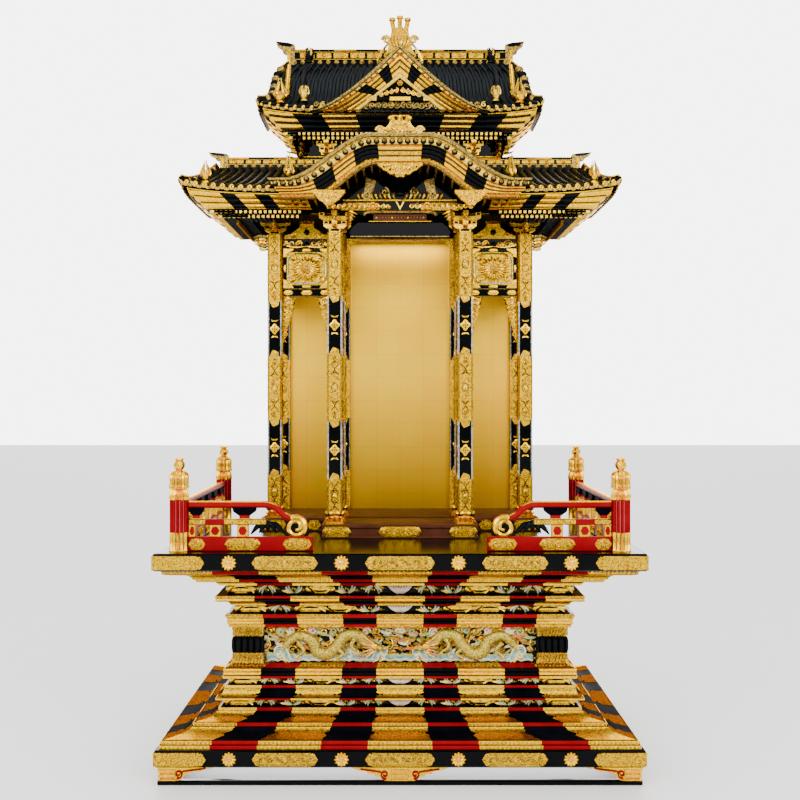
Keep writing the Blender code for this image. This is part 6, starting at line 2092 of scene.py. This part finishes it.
def upper_body():
    piece = Piece("upper_body_looks", "gold_leaf", ["upper_body"])
    low, high = corners("upper_body")
    centre = (low[1] + high[1]) / 2
    z0, z1 = low[2], high[2]
    piece.put(bar((-0.43, centre - 0.10, z0), (0.43, centre + 0.10, z1 - 0.02)), BLACK)
    piece.put(bar((-0.50, centre - 0.17, z1 - 0.006), (0.50, centre + 0.17, z1 - 0.001)), BLACK)
    for k in range(4):
        length, reach = (0.43, 0.10) if k % 2 == 0 else (0.10, 0.43)
        place = shift(0, centre) @ side_place(k)
        piece.put(block((-length - 0.004, -reach - 0.004, z0),
                        (length + 0.004, -reach + 0.002, z0 + 0.010)), GOLD, place)
        piece.put(block((-length - 0.006, -reach - 0.006, z0 + 0.052),
                        (length + 0.006, -reach, z0 + 0.062)), CHASED, place)
        rafter_row(piece, k, centre, length + 0.070, reach + 0.070, z1 - 0.017, 0.0205, 0.009, 0.06)
        rafter_row(piece, k, centre, length + 0.050, reach + 0.050, z1 - 0.031, 0.0205, 0.009, 0.05)
        count = max(2, int(2 * length / 0.105))
        for i in range(count + 1):
            x = -length + 2 * length * i / count
            brackets(piece, place @ shift(x, -reach, z0 + 0.062), 0.064, 0.044)
            piece.put(block((x - 0.012, -reach - 0.006, z0 + 0.010), (x + 0.012, -reach, z0 + 0.052)), GOLD,
                      place)
            leaf_stroke(piece, place, [(x, -reach - 0.01, z0 + 0.052), (x, -reach - 0.05, z0 + 0.052),
                                       (x, -reach - 0.07, z0 + 0.066)], 0.010, PALE, 1.0)
            if i < count:
                mid = x + length / count
                for s in SIGNS:
                    coil(piece, (mid + s * 0.014, z0 + 0.030, 0.012, 0.002, 1.3 * s, 90, 14,
                                 -reach - 0.004), 0.003, GOLD, place)
    piece.done()


def upper_roof():
    low, high = corners("upper_roof")
    piece = Piece("upper_roof_looks", "roof_tile", ["upper_roof"])
    eave_half, ridge_half, fascia = 0.611, 0.50, 0.063
    roof = Roof((eave_half, low[1], high[1]), (ridge_half, 0.263, 0.303), low[2], fascia, high[2] - 0.012,
                True)
    front = cells_from((0.0, 0.07, 0.33, 0.58, 0.80, 1.0), (GOLD, BLACK, GOLD, BLACK, GOLD))
    side = cells_from((0.0, 0.25, 0.50, 0.66, 0.93, 1.0), (GOLD, BLACK, GOLD, BLACK, GOLD))
    for k in range(4):
        roof.tiles(piece, k)
        roof.fascia(piece, k, (front, side, front, side)[k])
        roof.lip(piece, k)
        roof.hip(piece, k)
    piece.put(bar((-ridge_half, low[1] + 0.06, low[2]), (ridge_half, high[1] - 0.06, low[2] + 0.06)), BLACK)
    for spot in finial_spots(roof, 0.065, 0.07):
        flame(piece, shift(*spot) @ stretch(1.35, 1.35, 1.0), 0.112)
    piece.put(bar((-ridge_half, 0.262, high[2] - 0.016), (ridge_half, 0.304, high[2] - 0.0005)), BLACK)
    outer_fall, inner_fall = 0.495, 0.145
    for k in (0, 2):
        for sign in SIGNS:
            fall = []
            for v in np.linspace(0.42, 1.0, 10):
                reach = -roof.slope(0, 0.0, v)[0]
                fall.append(roof.slope(k, 0.5 + sign * outer_fall / (2 * reach), v, 0.012))
            piece.put(tube(fall, 0.013, 8, 1.3, UP), CHASED)
            piece.put(tube([p + (0, 0, 0.017) for p in fall], 0.006, 6, 1.0, UP), GOLD)
            piece.put(rosette(0.018, 8, 0.010), PALE, shift(*fall[0]) @ turn("Z", 90 * k) @ shift(0, -0.010))
            top = [roof.slope(k, 0.5 + sign * (0.5 - inner_fall + 0.05 * v), v, 0.014)
                   for v in np.linspace(0.22, 1.0, 10)]
            piece.put(tube(top, 0.013, 8, 1.2, UP), BLACK)
            piece.put(tube([p + (0, 0, 0.015) for p in top], 0.005, 6, 1.0, UP), BLACK)
            flame(piece, shift(*(top[0] + (0, 0, -0.006))), 0.055, PALE)
            flame(piece, shift(*(top[-1] + (0, 0, 0.002))), 0.055, BLACK)
    for i in range(26):
        u = -0.60 + 1.2 * i / 25
        spot = roof.slope(0, 0.5 + u / 2 * 0.98, 0.0, 0.006)
        coil(piece, (spot[0], spot[2] + 0.012, 0.012, 0.003, 1.3, 60 * i, 14, spot[1] - 0.006), 0.003,
             (DULL, PALE)[i % 2])
    piece.done()


def verge(u):
    """Height share of the front gable's concave upper edge at u in -1..1."""
    return (1 - abs(u)) ** 1.38


DORMER_RISE = 0.285


def dormer_point(u, share):
    """(x, z) across the front gable, share running from its top edge to its lower edge."""
    low = corners("upper_gable")[0][2]
    x = 0.3755 * u
    outer = low + DORMER_RISE * verge(u)
    inner_x = 0.17 * u
    inner = low + 0.006 + 0.135 * (1 - abs(u))
    return x + (inner_x - x) * share, outer + (inner - outer) * share


def gable_crown(piece, crown):
    """Crest over the front gable: plate, side feathers, leaves and three prongs."""
    body = [(-0.062, -0.040), (-0.052, 0.0), (-0.046, 0.030), (-0.040, 0.050), (-0.036, 0.085),
            (0.036, 0.085), (0.040, 0.050), (0.046, 0.030), (0.052, 0.0), (0.062, -0.040), (0.0, 0.004)]
    piece.put(plate(body, 0.014, -0.014, 0.9), CHASED, crown)
    for sx in SIGNS:
        coil(piece, (sx * 0.058, 0.030, 0.020, 0.004, 1.4 * sx, 90 - 90 * sx, 20, -0.012), 0.0062, PALE,
             crown, sides=6)
        for i in range(3):
            feather = curve([(sx * (0.050 + 0.010 * i), -0.010, 0.014 - 0.012 * i),
                             (sx * (0.066 + 0.010 * i), -0.013, -0.006 - 0.014 * i),
                             (sx * (0.072 + 0.012 * i), -0.010, -0.030 - 0.016 * i)], 7)
            piece.put(tube(feather, 0.0050, 5, 1.2), (DULL, PALE, GOLD)[i], crown)
        for i in range(3):
            leaf = curve([(sx * 0.012 * i, -0.015, 0.0), (sx * (0.006 + 0.014 * i), -0.019, 0.022),
                          (sx * (0.010 + 0.011 * i), -0.014, 0.050)], 7)
            piece.put(tube(leaf, 0.0045, 5, 1.2), (GOLD, PALE)[i % 2], crown)
    for x, top in ((-0.033, 0.122), (0.0, 0.130), (0.033, 0.122)):
        stalk = curve([(x * 0.75, 0, 0.070), (x * 0.9, -0.003, 0.092), (x, 0, top - 0.010)], 7)
        piece.put(tube(stalk, 0.0105, 7), CHASED, crown)
        piece.put(lathe(((0.002, -0.014), (0.0145, -0.008), (0.0145, 0.003), (0.001, 0.008)), 10), GOLD,
                  crown @ shift(x, 0, top))


def upper_gable():
    piece = Piece("upper_gable_looks", "black_lacquer", ["upper_gable"])
    low = corners("upper_gable")[0]
    y = low[1]
    for sign in SIGNS:
        dormer_band(piece, 0, sign, 0.0, 0.13, y - 0.003, 0.003, DULL, 0.03)
        dormer_band(piece, 0, sign, 0.13, 0.25, y + 0.004, 0.002, PALE, 0.03)
        for a, b, finish in ((0, 0.15, GOLD), (0.15, 0.29, BLACK), (0.29, 0.45, GOLD), (0.45, 0.58, BLACK),
                             (0.58, 1.0, GOLD)):
            for i in range(3):
                s0 = 0.26 + 0.20 * i
                dormer_band(piece, sign * a, sign * b, s0, s0 + 0.20,
                            y + 0.013 - (0.001 if finish is GOLD else 0), 0.006, WARM
                            if finish is GOLD and i == 1 else finish)
            # Dark lines between the ribs of the gold cells are painted shade.
            if finish is GOLD:
                grooves(piece, dormer_point, (sign * a, sign * b), (0.46, 0.66), y + 0.010)
        dormer_band(piece, 0, sign, 0.87, 1.0, y + 0.010, 0.003, PALE, 0.02)
        for i in range(15):
            u = sign * (i + 0.5) / 15
            x, z = dormer_point(u, 0.19)
            piece.put(dome(0.007, 0.006, 8), DULL, shift(x, y + 0.002, z))
        rows = []
        for u in np.linspace(0, sign, 16):
            x, z = dormer_point(u, 0.0)
            rows.append([(x, y + 0.01, z - 0.002), (x, 0.262, z - 0.002), (x, 0.262, z - 0.014),
                         (x, y + 0.01, z - 0.014)])
        piece.put(capped(rows), TILE)
        for i in range(9):
            u = sign * (i + 0.5) / 9
            x, z = dormer_point(u, 0.0)
            piece.put(tube([(x, y + 0.012, z), (x, 0.15, z), (x, 0.262, z)], 0.009, 6, 1.0, UP), TILE)
    inside = [dormer_point(-0.95, 0.98), dormer_point(0.0, 0.98), dormer_point(0.95, 0.98)]
    piece.put(prism([(inside[0][0], low[2]), inside[0], inside[1], inside[2], (inside[2][0], low[2])],
                    y + 0.028, y + 0.05), BLACK)
    z = low[2]
    piece.put(block((-0.15, y + 0.012, z + 0.044), (0.15, y + 0.03, z + 0.060)), BLACK)
    for x0, x1 in ((-0.15, -0.10), (-0.045, 0.045), (0.10, 0.15)):
        piece.put(block((x0, y + 0.010, z + 0.043), (x1, y + 0.03, z + 0.061)), GOLD)
    piece.put(rosette(0.014, 6, 0.012), PALE, shift(0, y + 0.014, z + 0.118))
    for sx in SIGNS:
        for i in range(4):
            coil(piece, (sx * (0.016 + 0.022 * i), z + 0.088 - 0.006 * i, 0.012, 0.002, 1.4 * sx, 90, 16,
                         y + 0.016), 0.0036, (GOLD, PALE)[i % 2])
        for i in range(7):
            x = sx * (0.014 + 0.026 * i)
            coil(piece, (x, z + 0.022, 0.015, 0.003, 1.3 * sx, 60 * i, 14, y + 0.012), 0.0036, DULL)
    gable_crown(piece, shift(0, y + 0.02, z + DORMER_RISE - 0.012))
    piece.done()


dais_mouldings()
carved_strips()
corner_posts()
waist_panels()
boards()
feet()
railings()
plinth()
columns()
rear_wall()
bays()
lower_eaves()
lower_roof()
ridge("lower_ridge_looks", "lower_ridge", 0.77, 14)
porch_gable()
porch_crest()
porch_front()
upper_body()
upper_roof()
ridge("upper_ridge_looks", "upper_ridge", 0.49, 10)
upper_gable()

floor_mesh = bpy.data.meshes.new("floor")
floor_mesh.from_pydata([(-30, -30, -0.0005), (30, -30, -0.0005), (30, 30, -0.0005), (-30, 30, -0.0005)], [],
                       [(0, 1, 2, 3)])
floor_mesh.materials.append(pigment("studio_floor", (0.94, 0.94, 0.94), (0.97, 0.97, 0.97), (0.5, 0.6)))
floor = bpy.data.objects.new("floor", floor_mesh)
bpy.context.scene.collection.objects.link(floor)
